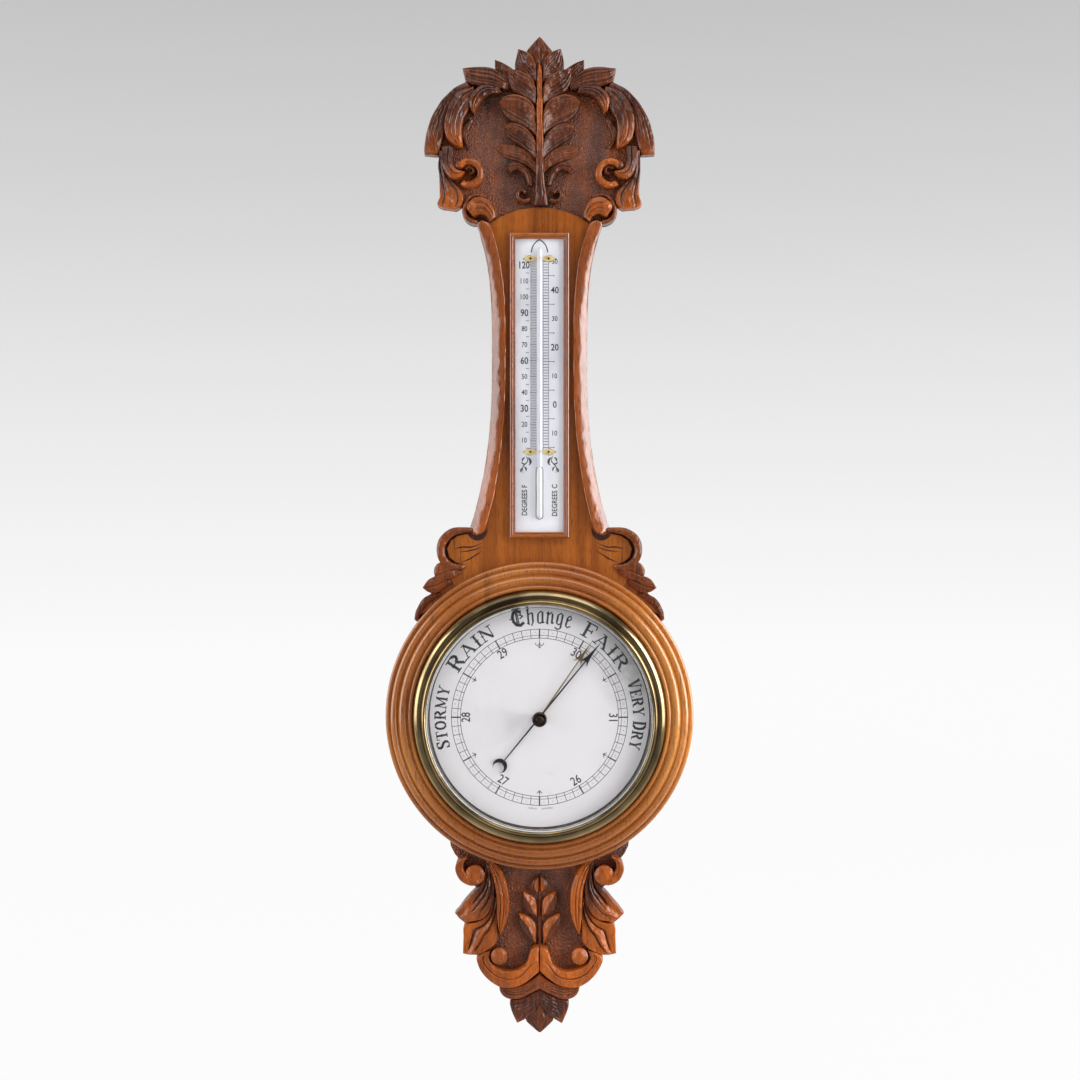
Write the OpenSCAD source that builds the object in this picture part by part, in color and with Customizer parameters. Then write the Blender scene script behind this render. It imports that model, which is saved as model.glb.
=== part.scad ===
// Carved oak wall barometer with a thermometer in its waist.
// X runs to the right, Y runs back into the wall and Z runs up. The wall is the plane Y = 0 and
// the origin is the hole in the hanging plate. Depths are measured forward from the wall.

/* [Case] */
// Thickness of the oak backboard
board_t = 28; // [26:1:34]
// Width of the brass and oak from the sight opening to the edge of the round body
rim_w = 36.5; // [34:0.5:42]
// Drop from the hanging hole to the dial axis
dial_drop = 536; // [520:1:580]
// Narrowest width of the waist
neck_w = 86; // [80:1:94]
// Drop from the hanging hole to the narrowest point
neck_drop = 211; // [195:1:225]
// How much each edge flares out at the top of the waist
flare_top = 11.5; // [8:0.5:14]
// How much each edge flares out at the foot of the waist
flare_foot = 16; // [12:0.5:20]
// Radius of the arch where the waist panel meets the crest
arch_r = 77; // [70:1:90]
// Drop from the hanging hole to the top of that arch
arch_drop = 77; // [72:1:82]
// Thickness of the lap tongues behind the carved blocks
tongue_t = 14; // [11:0.5:17]
// Width of the tongue behind the crest
crest_tongue_w = 80; // [64:1:90]
// Height of the crest tongue above the hanging hole
crest_tongue_h = 34; // [30:1:40]
// Width of the tongue behind the base
base_tongue_w = 60; // [40:1:66]
// Length of the base tongue below the round body
base_tongue_l = 82; // [60:1:86]
// Width of the rounded moulding on each edge of the waist
moulding_w = 11.5; // [9:0.5:13]
// Height of that moulding above the panel
moulding_h = 6; // [4:0.5:8]
// Gap left for glue between the board and the carved blocks
glue_gap = 0.2; // [0.1:0.05:0.3]

/* [Carving] */
// Thickness of the sunk ground of the carved blocks
ground_t = 24; // [21:0.5:25]
// Height of the leaves above the ground
relief = 14; // [10:0.5:18]
// Width across the crest
crest_w = 209; // [195:1:225]
// Width across the base
base_w = 151; // [142:1:165]
// Radius of the bead round a shoulder scroll
shoulder_r = 18.5; // [16:0.5:20]

/* [Dial ring and bezel] */
// How far the oak ring overhangs the round body
ring_overhang = 1.5; // [0.5:0.5:3]
// Height of the bezel seat above the board
ring_h = 15.5; // [14:0.5:20]
// Radius of the small bead next to the bezel
bead_r = 2.1; // [1.6:0.1:2.4]
// Radius of the inner torus of the ring
torus_in_r = 3.2; // [2.6:0.1:3.6]
// Radius of the outer torus of the ring
torus_out_r = 2.8; // [2.2:0.1:3.2]
// Radius of the sight opening in the bezel
sight_r = 100.5; // [92:0.5:106]
// Width of the lip that holds the glass
lip_w = 2.4; // [1.8:0.1:3]
// Wall of the bezel skirt
skirt_wall = 2.8; // [2:0.1:3.4]
// Width of the brass flange that covers the joint with the ring
flange_w = 7.8; // [6:0.2:9]
// Height of the sight rim above the bezel seat
bezel_rise = 13.5; // [12:0.5:18]
// Thickness of the lip in front of the glass
lip_t = 2; // [1.2:0.1:2.6]
// How far the skirt reaches into the ring
skirt_l = 3.5; // [2:0.5:6]
// Running and push clearance of the brass parts
brass_gap = 0.2; // [0.1:0.05:0.3]
// Thickness of the glass
glass_t = 3; // [2:0.5:4]
// Width of the bevel at the edge of the glass
glass_bevel = 1.2; // [0.6:0.1:1.6]

/* [Dial and hands] */
// Thickness of the dial plate
dial_t = 1.6; // [1.2:0.1:2.4]
// Air between the dial and the glass
dial_air = 7; // [6.4:0.1:8]
// Hole at the centre of the dial
dial_hole_r = 4; // [3:0.1:5]
// Pressure that the hands show, in inches of mercury
reading = 30.155; // [26:0.005:31]
// How far the set hand stands behind the pointer, in degrees
set_hand_lag = 4.9; // [3:0.1:30]
// Length of the pointer from the axis to its tip
hand_l = 87; // [80:0.5:92]
// Length of the pointer's tail
tail_l = 57; // [45:0.5:65]
// Length of the set hand
set_hand_l = 84; // [76:0.5:92]
// Length of the barbed head of a hand
head_l = 26; // [18:0.5:30]
// Half width of the barbed head
head_w = 4.6; // [3:0.1:6]
// Radius of the crescent on the tail
crescent_r = 6.5; // [5:0.1:8]
// Thickness of a hand
hand_t = 0.6; // [0.4:0.1:0.8]
// Radius of the set-hand knob
knob_r = 6.5; // [5:0.1:8]
// Height of the knob
knob_h = 8; // [6:0.5:11]
// Radius of the knob's shaft
knob_shaft_r = 1.5; // [1.2:0.1:2]

/* [Thermometer] */
// Outer width of the bead frame
frame_w = 54; // [48:0.5:56]
// Outer height of the bead frame
frame_h = 275.5; // [260:0.5:277]
// Drop from the hanging hole to the middle of the frame
frame_drop = 238.5; // [236:0.5:242]
// Width of a frame strip
strip_w = 5.4; // [4.6:0.1:6.5]
// Height of a frame strip
strip_h = 6; // [5:0.1:8]
// Overlap of a strip on the plate
strip_lap = 1.2; // [0.8:0.1:1.6]
// Thickness of the thermometer plate
plate_t = 2.2; // [1.6:0.1:3]
// Diameter of the tube
tube_d = 4.6; // [4:0.1:5]
// Diameter of the bulb
bulb_d = 5.2; // [5.2:0.1:6.5]
// Length of the bulb
bulb_l = 47; // [35:1:52]
// Length of the fused tip
tip_l = 4; // [2:0.5:6]
// Space between the tip of the tube and the frame
tube_head = 7.7; // [5:0.1:20]
// Diameter of the bore of the tube
tube_bore_d = 1.4; // [1:0.1:1.8]
// Height of the mercury above the bulb
mercury_l = 96; // [20:1:170]
// Length of a clip's lozenge end
clip_l = 12.4; // [11:0.1:13]
// Height of a clip's lozenge end
clip_h = 5.4; // [4:0.1:6]
// Thickness of the clip
clip_t = 0.8; // [0.6:0.1:1]
// Radius of the wire over the tube
clip_wire_r = 0.4; // [0.3:0.05:0.5]
// Shank radius of a clip pin
pin_r = 0.5; // [0.4:0.05:0.7]

/* [Movement] */
// Clearance between the flange of the movement casing and the oak ring
casing_room = 6.1; // [4:0.1:9]
// Wall of the casing
casing_t = 1.5; // [1:0.1:2]
// Width of the casing's flange on the board
casing_flange_w = 14; // [12:0.5:14.5]
// Clearance between the casing and the well in the board
well_gap = 2; // [0.5:0.5:3]
// Radius of the vacuum capsule
capsule_r = 36; // [30:1:37]
// Height of the capsule
capsule_h = 9; // [7:0.5:10]
// Number of corrugations on a face of the capsule
corrugations = 4; // [3:1:6]
// Height of the bridge above the casing floor
bridge_h = 17; // [16:0.5:18]
// Length of the main lever from its knife edge
lever_l = 80; // [74:1:84]
// Length of the short arm of the rocking shaft
short_arm_l = 5; // [4.5:0.1:6]
// Length of the long arm of the rocking shaft
long_arm_l = 20.5; // [19.5:0.1:21]
// Radius of the rocking shaft
shaft_r = 1; // [0.8:0.1:1.4]
// Running clearance of a pivot
pivot_gap = 0.05; // [0.03:0.01:0.08]
// Radius of the hand arbor
arbor_r = 0.8; // [0.6:0.1:1]
// Radius of the chain drum
drum_r = 1.1; // [1.05:0.05:1.4]
// Radius of the chain
chain_r = 0.35; // [0.25:0.05:0.5]
// Turns of the hairspring
hairspring_turns = 5; // [3:1:6]
// Thickness of the hairspring
hairspring_t = 0.3; // [0.2:0.05:0.4]
// Shank radius of the adjusting screw
adjust_r = 2; // [1.5:0.1:2.5]

/* [Back and fixings] */
// Depth of the rebate for the back cover
cover_rebate = 3; // [2.5:0.1:4]
// Thickness of the back cover
cover_t = 2.6; // [2:0.1:3]
// Width of the ledge that carries the back cover
cover_ledge = 9; // [7.5:0.5:12]
// Shank radius of the wood screws
screw_r = 1.4; // [1:0.1:1.6]
// Head radius of the wood screws
screw_head_r = 2.6; // [2.2:0.1:3]
// Head height of the wood screws
screw_head_h = 1.2; // [0.8:0.1:1.5]
// Radius of the hole in the hanging plate
hanger_hole_r = 4; // [3:0.1:5]
// Width of the hanging plate
hanger_w = 36; // [30:1:40]
// Height of the hanging plate
hanger_h = 46; // [40:1:52]
// Thickness of the hanging plate
hanger_t = 2.5; // [2:0.1:3]

/* [Hidden] */
$fn = 64;
OAK = "#8a5029";
OAK_DARK = "#5c3320";
BRASS = "#b08d3c";
STEEL = "#9a9ca0";
BLUED = "#23252c";
WHITE = "#f2efe8";
GLASS = "#cfe0e4";
dial_z = -dial_drop;
body_r = sight_r + rim_w;
foot_half = neck_w / 2 + flare_foot;
arch_z = -arch_drop - arch_r;
// Lengths over which the waist flares above and below its narrowest point
top_len = neck_drop - arch_drop - 23;
foot_len = 143;
// Shape of those flares: a higher power keeps the waist straight for longer
top_power = 3.3;
foot_power = 2.6;
body_top = dial_z + body_r;
body_bottom = dial_z - body_r;
seat_gap = 0.1;
// Depths of the stack over the dial
ring_r = body_r + ring_overhang;
seat_d = board_t + ring_h;
rim_d = seat_d + bezel_rise;
glass_front = rim_d - lip_t;
glass_back = glass_front - glass_t;
dial_front = glass_back - dial_air;
dial_back = dial_front - dial_t;
// Radii of the bezel and of what it holds
glass_r = sight_r + lip_w;
bezel_in_r = glass_r + brass_gap;
skirt_r = bezel_in_r + skirt_wall;
flange_r = skirt_r + flange_w;
ring_bore_r = skirt_r + brass_gap;
dial_r = bezel_in_r - 2 * brass_gap;
bead_c = flange_r + 2 * brass_gap + bead_r;
bead_fillet = 0.6;
torus_in_c = bead_c + bead_r + bead_fillet + torus_in_r;
quarter_r = 5.6;
torus_out_c = ring_r - quarter_r - torus_out_r;
// Depths of the members of the ring below the bezel seat
torus_in_drop = 0.5;
torus_out_drop = 2.5;
quarter_drop = 3;
// Angles clockwise from the top of the dial: the scale has 60 degrees to the inch
inch_angle = 60;
middle_reading = 29.5;
hand_angle = (reading - middle_reading) * inch_angle;
set_angle = hand_angle - set_hand_lag;
hub_r = 2.6;
hub_h = 2;
hand_d = dial_front + 1.6;
set_hub_h = 1.6;
set_d = glass_back - 0.3 - set_hub_h;
bush_wall = 1;
bush_flange_t = 0.8;
bush_r = knob_shaft_r + pivot_gap + bush_wall;
knob_d = glass_front + bush_flange_t + 0.3;
// Thermometer
frame_z = -frame_drop;
plate_front = board_t + plate_t;
plate_w = frame_w - 2 * (strip_w - strip_lap) - 2 * seat_gap;
plate_h = frame_h - 2 * (strip_w - strip_lap) - 2 * seat_gap;
tube_axis = plate_front + bulb_d / 2 + seat_gap;
bulb_margin = 12;
bulb_z = frame_z - frame_h / 2 + strip_w + bulb_margin;
tube_z = bulb_z + bulb_l;
tube_top = frame_z + frame_h / 2 - strip_w - tube_head - tip_l;
mercury_gap = 0.1;
clip_margin = 6;
clip_inset = 13.5;
clip_zs = [tube_top - clip_margin, tube_z + clip_inset];
clip_x = tube_d / 2 - 0.3 + clip_l / 2;
pin_depth = 6;
// Movement: heights above the casing floor
casing_r = ring_bore_r - casing_room - casing_flange_w;
casing_back = cover_rebate + 1.5;
floor_d = casing_back + casing_t;
flange_front = board_t + casing_t;
casing_in_r = casing_r - casing_t;
well_r = casing_r + well_gap;
stem_h = 2;
stem_r = 4;
post_r = 3;
post_gap = 0.6;
nut_gap = 0.7;
nut_h = 1.3;
bridge_t = 3;
bridge_w = 14;
bridge_x = capsule_r + 8;
leg_w = 8;
knife_z = -23;
knife_drop = 0.6;
spring_t = 1.2;
spring_w = 28;
spring_front = 8;
spring_d = floor_d + bridge_h + seat_gap;
lever_w = 5;
lever_t = 2;
lever_x = -8;
lever_z = knife_z + lever_l;
lever_d = spring_d + spring_t;
shaft_d = floor_d + 6;
shaft_z = lever_z + short_arm_l;
bracket_xs = [-16, 9];
bracket_t = 3;
bracket_w = 7;
shaft_ends = [-19, 12];
arm_t = 2;
link_t = 1.4;
link_eye_r = 2.2;
link_pin_r = 0.6;
link_gap = 0.6;
plate_d = floor_d + bridge_h + 5;
arbor_plate_t = 1.5;
plate_x = bridge_x - 2;
plate_pillar_z = 10;
pillar_r = 3;
drum_h = 3;
drum_d = plate_d + arbor_plate_t + 1.5;
drum_flange_r = 2.2;
drum_flange_t = 0.5;
chain_d = drum_d + drum_h / 2;
chain_x = drum_r + seat_gap + chain_r;
spring_coil_d = drum_d + drum_h + 1;
coil_h = 1;
collet_r = 2;
coil_out_r = 9.8;
cock_d = spring_coil_d + coil_h + 1.5;
cock_t = 1.5;
cock_x = coil_out_r + 0.2;
cock_w = 10;
arbor_end = hand_d + hub_h + 0.4;
adjust_head_r = adjust_r + 1.5;
adjust_head_h = 1.1;
adjust_l = 8;
slot_w = 0.8;
// Fixings
cover_r = well_r + cover_ledge;
cover_screw_at = well_r + cover_ledge / 2;
casing_screw_at = well_r + (casing_r + casing_flange_w - well_r) / 2;
wood_screw_l = 9;
ring_screw_at = torus_in_c;
ring_screw_r = 1.8;
ring_screw_head_r = 3.4;
ring_screw_head_h = 2;
ring_screw_sink = 6;
ring_screw_bite = 9;
hanger_relief_r = 8;
hanger_relief = 9;
hanger_screw_x = hanger_w / 2 - 5;
hanger_screw_z = hanger_h / 2 - 5;
head_sink = 0.3;

// Leaf work of the crest, drawn on its right half: root, bend and tip of each leaf, its half width,
// its share of the relief, and how blunt its tip is
crest_drawn_w = 209;
CREST_LEAVES = [
  [[3, 28], [22, 50], [40, 56], 8, 0.5, 0.35],
  [[1, 34], [8, 56], [20, 64], 6, 0.75, 0.3],
  [[2, 16], [18, 34], [29, 48], 7.5, 0.8, 0.45],
  [[2, 0], [18, 21], [37, 17], 7, 0.85, 0.5],
  [[2, -22], [16, -4], [32, -6], 6, 0.85, 0.5],
  [[2, -39], [20, -19], [41, -24], 6.5, 0.85, 0.5],
  [[5, -52], [14, -36], [26, -41], 4.5, 0.8, 0.6],
  [[48, -20], [44, 20], [57, 46], 13, 0.8, 0.75],
  [[46, 26], [60, 28], [58, 8], 6, 0.95, 0.4],
  [[52, 32], [86, 38], [79, -18], 8.5, 0.9, 0.6],
  [[60, 36], [106, 30], [97, -28], 8, 0.75, 0.8],
  [[72, -30], [96, -42], [84, -75], 9.5, 0.8, 0.7],
  [[60, -34], [40, -8], [47, 30], 5, 1, 0.4],
];
// Volutes of the crest: centre, radius, turns, first angle and sense
CREST_VOLUTES = [
  [[64, -47], 12, 1.4, 60, 1],
  [[55, -79], 12.5, 1.4, 240, -1],
  [[18, -65], 7, 1.2, 120, -1],
];
CREST_GROUND = [
  [0, 66], [12, 61], [26, 56], [44, 44], [66, 44], [70, 30], [86, 22], [96, 4],
  [99, -26], [88, -30], [88, -72], [72, -76], [66, -86], [60, -100], [0, -100],
];
// Leaf work of the base, drawn from the bottom of the round body downward
base_drawn_w = 151;
BASE_LEAVES = [
  [[42, 6], [26, -22], [36, -62], 7, 0.7, 0.25],
  [[48, -20], [72, -26], [69, -48], 9, 0.85, 0.7],
  [[44, -46], [74, -52], [60, -80], 9, 0.8, 0.7],
  [[3, -46], [6, -26], [15, -24], 4.5, 0.85, 0.4],
  [[3, -68], [8, -50], [19, -45], 4.5, 0.85, 0.4],
  [[3, -90], [34, -92], [56, -82], 6.5, 0.95, 0.7],
  [[6, -104], [28, -114], [44, -98], 6.5, 0.8, 0.7],
  [[2, -106], [24, -122], [34, -108], 6, 0.7, 0.5],
  [[2, -112], [26, -122], [20, -140], 6.5, 0.75, 0.4],
];
BASE_VOLUTES = [
  [[61, -7], 12, 1.4, 110, 1],
  [[39, -80], 8, 1.2, 330, 1],
];
BASE_GROUND = [
  [0, 30], [74, 30], [73, -9], [58, -22], [70, -40], [64, -50], [63, -76], [52, -88],
  [41, -104], [30, -113], [22, -128], [14, -137], [0, -143],
];
// Leaf work of a shoulder, drawn from the foot of the waist and the top of the round body
SHOULDER_SCROLL = [15.6, 13.5];
SHOULDER_LEAVES = [
  [[16, -6], [32, -2], [44, -20], 9, 0.7, 0.5],
  [[30, -12], [44, -16], [47, -36], 6, 0.5, 0.6],
];
SHOULDER_GROUND = [
  [-6, 36], [14, 34], [33, 20], [34, -3], [45, -13], [48, -27], [49, -38], [43, -48], [-6, -48],
];

// Half width of the waist at height z
function waist_half(z) =
  let (up = z + neck_drop)
  min(foot_half, neck_w / 2 + (up > 0 ? flare_top * pow(up / top_len, top_power)
                                      : flare_foot * pow(-up / foot_len, foot_power)));
// Height of the arch at x
function arch(x) = arch_z + sqrt(arch_r * arch_r - x * x);
function unit(v) = v / norm(v);
function bend(a, b, c, t) = (1 - t) * (1 - t) * a + 2 * t * (1 - t) * b + t * t * c;
function bend_way(a, b, c, t) = unit((1 - t) * (b - a) + t * (c - b));
function half_mirror(half) = concat(half, [for (i = [len(half) - 1:-1:0]) [-half[i][0], half[i][1]]]);
function on_circle(r, angle) = [r * cos(angle), r * sin(angle)];

// Carries an outline in X and Z forward from depth d0 to depth d1
module front(d0, d1) {
  translate([0, -d0, 0])
    rotate([90, 0, 0])
      linear_extrude(d1 - d0)
        children();
}
// Turns an outline of radius and depth about the dial axis
module turned() {
  translate([0, 0, dial_z])
    rotate([90, 0, 0])
      rotate_extrude()
        children();
}
module both_sides() {
  children();
  mirror([1, 0, 0]) children();
}
// Puts a child at polar places about the dial axis
module round_dial(r, angles) {
  for (a = angles)
    translate([r * sin(a), 0, dial_z + r * cos(a)])
      children();
}
// A round rod along the depth
module rod(r, d0, d1) {
  translate([0, -d0, 0])
    rotate([90, 0, 0])
      cylinder(r = r, h = d1 - d0);
}
// A screw driven forward from depth d: head first, then its shank
module screw(d, r, head_r, head_h, l) {
  rod(head_r, d, d + head_h);
  rod(r, d + head_h - 0.01, d + head_h + l);
}

// Leaf section: place across and share of the height, with a hollow on each side of the rib
LEAF_SECTION = [[-1, -1], [-1, 0.6], [-0.5, 0.5], [0, 1], [0.5, 0.5], [1, 0.6], [1, -1]];
leaf_rings = 7;
leaf_root = 0.45;
leaf_sink = 6;
leaf_widest = 0.6;
function leaf_width(t, tip) =
  t < leaf_widest ? leaf_root + (1 - leaf_root) * sin(90 * t / leaf_widest)
                  : 1 - (1 - tip) * pow((t - leaf_widest) / (1 - leaf_widest), 2);
function leaf_height(t) = 0.55 + 0.45 * sin(160 * t);
module leaf(a, b, c, w, share, tip) {
  n = len(LEAF_SECTION);
  points = [
    for (i = [0:leaf_rings])
      let (
        t = i / leaf_rings,
        p = bend(a, b, c, t),
        way = bend_way(a, b, c, t),
        half = w * leaf_width(t, tip),
        h = relief * share * leaf_height(t)
      )
        for (s = LEAF_SECTION)
          [p[0] + way[1] * half * s[0],
           -(s[1] < 0 ? ground_t - leaf_sink : ground_t + h * s[1]),
           p[1] - way[0] * half * s[0]]
  ];
  sides = [
    for (i = [0:leaf_rings - 1], j = [0:n - 1], k = [0, 1])
      let (a0 = i * n + j, a1 = i * n + (j + 1) % n, b0 = a0 + n, b1 = a1 + n)
        k == 0 ? [a0, b1, a1] : [a0, b0, b1]
  ];
  root_cap = [for (j = [0:n - 1]) j];
  tip_cap = [for (j = [n - 1:-1:0]) leaf_rings * n + j];
  polyhedron(points, concat(sides, [root_cap], [tip_cap]));
}
// A tapered stub of carving: wide at the ground and narrower at the top
module stub(p, r, d1) {
  translate([p[0], leaf_sink - ground_t, p[1]])
    rotate([90, 0, 0])
      cylinder(r1 = r, r2 = r * 0.6, h = d1 - ground_t + leaf_sink, $fn = 10);
}
// A rolled-up scroll: a band that winds in to a raised eye
module volute(c, r, turns, first, sense) {
  steps = 12;
  band = r * 0.24;
  function at(i) =
    c + on_circle((r - band) * (1 - 0.45 * i / steps), first + sense * 360 * turns * i / steps);
  for (i = [0:steps - 1])
    hull() {
      stub(at(i), band, ground_t + relief * (0.75 + 0.25 * i / steps));
      stub(at(i + 1), band, ground_t + relief * (0.75 + 0.25 * (i + 1) / steps));
    }
  stub(c, r * 0.42, ground_t + relief);
  stub(c, r * 0.85, ground_t + relief * 0.5);
}
function stretched(p, k) = [p[0] * k, p[1]];
module leaf_work(leaves, volutes, k) {
  for (l = leaves)
    leaf(stretched(l[0], k), stretched(l[1], k), stretched(l[2], k), l[3], l[4], l[5]);
  for (v = volutes)
    volute(stretched(v[0], k), v[1], v[2], v[3], v[4]);
}

// Outline of the board at its full thickness
module board_outline() {
  foot_z = body_top - 14;
  heel = body_top + 22;
  steps = 20;
  arch_steps = 8;
  corner = 56;
  right = concat(
    [[foot_half, foot_z]],
    [for (i = [0:steps]) let (z = heel + (arch(corner) - heel) * i / steps) [waist_half(z), z]],
    [for (i = [1:arch_steps]) let (x = corner * (1 - i / arch_steps)) [x, arch(x)]]
  );
  polygon(half_mirror(right));
  translate([0, dial_z])
    circle(body_r);
}
// Outline of the lap tongues behind the crest and the base, with the root that runs into the board
module tongues() {
  root = 36;
  translate([-crest_tongue_w / 2, -arch_drop - root])
    square([crest_tongue_w, crest_tongue_h + arch_drop + root]);
  translate([-base_tongue_w / 2, body_bottom - base_tongue_l])
    square([base_tongue_w, base_tongue_l + root]);
}
module board_solid() {
  front(0, board_t)
    board_outline();
  front(0, tongue_t)
    tongues();
}
// Room that the carved blocks leave for the board, its tongues and the oak ring
module board_room() {
  front(-1, board_t + relief + 10)
    offset(delta = glue_gap)
      board_outline();
  front(-1, tongue_t + glue_gap)
    offset(delta = glue_gap)
      tongues();
  front(board_t - glue_gap, board_t + relief + 10)
    translate([0, dial_z])
      circle(ring_r + glue_gap, $fn = 120);
}

module case_board() {
  color(OAK)
    difference() {
      board_solid();
      // Well for the movement, with the rebate of the back cover
      translate([0, 0, dial_z])
        rod(well_r, -1, board_t + 1);
      translate([0, 0, dial_z])
        rod(cover_r + seat_gap, -1, cover_rebate);
      // Holes for the ring, cover and casing screws
      round_dial(ring_screw_at, [45:90:315]) {
        rod(ring_screw_r + seat_gap, -1, board_t + 1);
        rod(ring_screw_head_r + seat_gap, -1, ring_screw_sink);
      }
      round_dial(cover_screw_at, [0:90:270])
        rod(screw_r + pivot_gap, cover_rebate - 1, cover_rebate + wood_screw_l);
      round_dial(casing_screw_at, [60:120:300])
        rod(screw_r + pivot_gap, board_t - wood_screw_l - 1, board_t + 1);
      // Pocket for the hanging plate, with room for the head of the wall hook
      front(-1, hanger_t)
        square([hanger_w + 2 * seat_gap, hanger_h + 2 * seat_gap], center = true);
      rod(hanger_relief_r, 0, hanger_t + hanger_relief);
      for (x = [-1, 1], z = [-1, 1])
        translate([x * hanger_screw_x, 0, z * hanger_screw_z])
          rod(screw_r + pivot_gap, 0, hanger_t + wood_screw_l);
      for (x = [-1, 1], z = clip_zs)
        translate([x * clip_x, 0, z])
          rod(pin_r + pivot_gap, board_t - pin_depth - 1, board_t + 1);
    }
}

module crest_block() {
  k = crest_w / crest_drawn_w;
  color(OAK_DARK)
    difference() {
      union() {
        front(0, ground_t)
          polygon(half_mirror([for (p = CREST_GROUND) stretched(p, k)]));
        both_sides()
          leaf_work(CREST_LEAVES, CREST_VOLUTES, k);
        leaf([0, -76], [0, -20], [0, 44], 6, 0.9, 0.5);
        leaf([0, 40], [0, 58], [0, 77], 10.5, 0.85, 0.12);
      }
      board_room();
    }
}

module base_block() {
  k = base_w / base_drawn_w;
  color(OAK_DARK)
    difference() {
      translate([0, 0, body_bottom]) {
        front(0, ground_t)
          polygon(half_mirror([for (p = BASE_GROUND) stretched(p, k)]));
        both_sides()
          leaf_work(BASE_LEAVES, BASE_VOLUTES, k);
        leaf([0, -96], [0, -60], [0, -26], 5, 0.9, 0.5);
        leaf([0, -28], [0, -18], [0, -8], 8, 0.8, 0.2);
        leaf([0, -108], [0, -128], [0, -151], 11, 0.85, 0.1);
      }
      board_room();
    }
}

module shoulder_block() {
  color(OAK_DARK)
    difference() {
      translate([foot_half, 0, body_top]) {
        front(0, ground_t)
          polygon(SHOULDER_GROUND);
        leaf_work(SHOULDER_LEAVES, [[SHOULDER_SCROLL, shoulder_r, 1, 90, -1]], 1);
      }
      board_room();
    }
}
module shoulder_right() {
  shoulder_block();
}
module shoulder_left() {
  mirror([1, 0, 0]) shoulder_block();
}

// Section of the waist moulding: place across from the outer edge, and height
MOULDING_SECTION = [[0, 0], [0, 0.5], [0.12, 0.82], [0.36, 1], [0.62, 0.92], [0.84, 0.6], [1, 0.5], [1, 0]];
moulding_end = 10;
moulding_top = -arch_drop - 15;
moulding_foot = body_top + 30;
module waist_moulding() {
  rings = 26;
  n = len(MOULDING_SECTION);
  l = moulding_top - moulding_foot;
  points = [
    for (i = [0:rings])
      let (
        z = moulding_foot + l * i / rings,
        to_end = min(z - moulding_foot, moulding_top - z) / moulding_end,
        swell = to_end >= 1 ? 1 : 0.35 + 0.65 * sqrt(1 - pow(1 - to_end, 2))
      )
        for (s = MOULDING_SECTION)
          [waist_half(z) - moulding_w * (0.5 + (s[0] - 0.5) * swell),
           -board_t - moulding_h * s[1] * swell,
           z]
  ];
  sides = [
    for (i = [0:rings - 1], j = [0:n - 1], k = [0, 1])
      let (a0 = i * n + j, a1 = i * n + (j + 1) % n, b0 = a0 + n, b1 = a1 + n)
        k == 0 ? [a0, a1, b1] : [a0, b1, b0]
  ];
  foot_cap = [for (j = [n - 1:-1:0]) j];
  top_cap = [for (j = [0:n - 1]) rings * n + j];
  color(OAK)
    polyhedron(points, concat(sides, [foot_cap], [top_cap]));
}
module waist_moulding_right() {
  waist_moulding();
}
module waist_moulding_left() {
  mirror([1, 0, 0]) waist_moulding();
}

module dial_ring() {
  color(OAK)
    difference() {
      turned() {
        polygon([
          [ring_bore_r, board_t],
          [ring_r, board_t],
          [ring_r, seat_d - quarter_drop - quarter_r],
          [ring_r - quarter_r, seat_d - quarter_drop],
          [torus_in_c, seat_d - quarter_drop],
          [torus_in_c, seat_d - torus_in_drop],
          [bead_c, seat_d],
          [ring_bore_r, seat_d],
        ]);
        translate([bead_c, seat_d])
          circle(bead_r);
        translate([torus_in_c, seat_d - torus_in_drop])
          circle(torus_in_r);
        translate([torus_out_c, seat_d - torus_out_drop])
          circle(torus_out_r);
        translate([ring_r - quarter_r, seat_d - quarter_drop - quarter_r])
          circle(quarter_r);
      }
      round_dial(ring_screw_at, [45:90:315])
        rod(ring_screw_r + pivot_gap, board_t - 1, board_t + ring_screw_bite);
    }
}
module ring_screws() {
  color(STEEL)
    round_dial(ring_screw_at, [45:90:315])
      screw(
        ring_screw_sink - ring_screw_head_h, ring_screw_r, ring_screw_head_r, ring_screw_head_h,
        board_t - ring_screw_sink + ring_screw_bite - 1
      );
}

module bezel() {
  step_r = skirt_r - 0.2;
  step_d = seat_d + bezel_rise * 0.62;
  color(BRASS)
    turned()
      polygon([
        [bezel_in_r, seat_d - skirt_l],
        [skirt_r, seat_d - skirt_l],
        [skirt_r, seat_d],
        [flange_r, seat_d],
        [flange_r, seat_d + 1.4],
        [flange_r - flange_w * 0.1, seat_d + bezel_rise * 0.24],
        [flange_r - flange_w * 0.35, seat_d + bezel_rise * 0.42],
        [flange_r - flange_w * 0.68, seat_d + bezel_rise * 0.56],
        [skirt_r + 0.2, step_d + 0.2],
        [step_r, step_d - 0.4],
        [step_r - 0.5, step_d - 0.3],
        [step_r - 0.8, step_d + 1],
        [bezel_in_r + 0.2, rim_d - 1],
        [sight_r + lip_w * 0.5, rim_d],
        [sight_r, rim_d - lip_t * 0.4],
        [sight_r, glass_front],
        [bezel_in_r, glass_front],
      ]);
}
module glass() {
  color(GLASS, 0.35)
    turned()
      polygon([
        [bush_r + pivot_gap, glass_back],
        [glass_r, glass_back],
        [glass_r, glass_front],
        [sight_r - glass_bevel / 2, glass_front],
        [sight_r - glass_bevel * 1.5, glass_front + lip_t * 0.3],
        [bush_r + pivot_gap, glass_front + lip_t * 0.3],
      ]);
}
module sight_ring() {
  color(STEEL)
    turned()
      polygon([
        [sight_r + seat_gap, dial_front],
        [dial_r, dial_front],
        [dial_r, glass_back],
        [sight_r + lip_w * 0.4, glass_back],
      ]);
}
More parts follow.
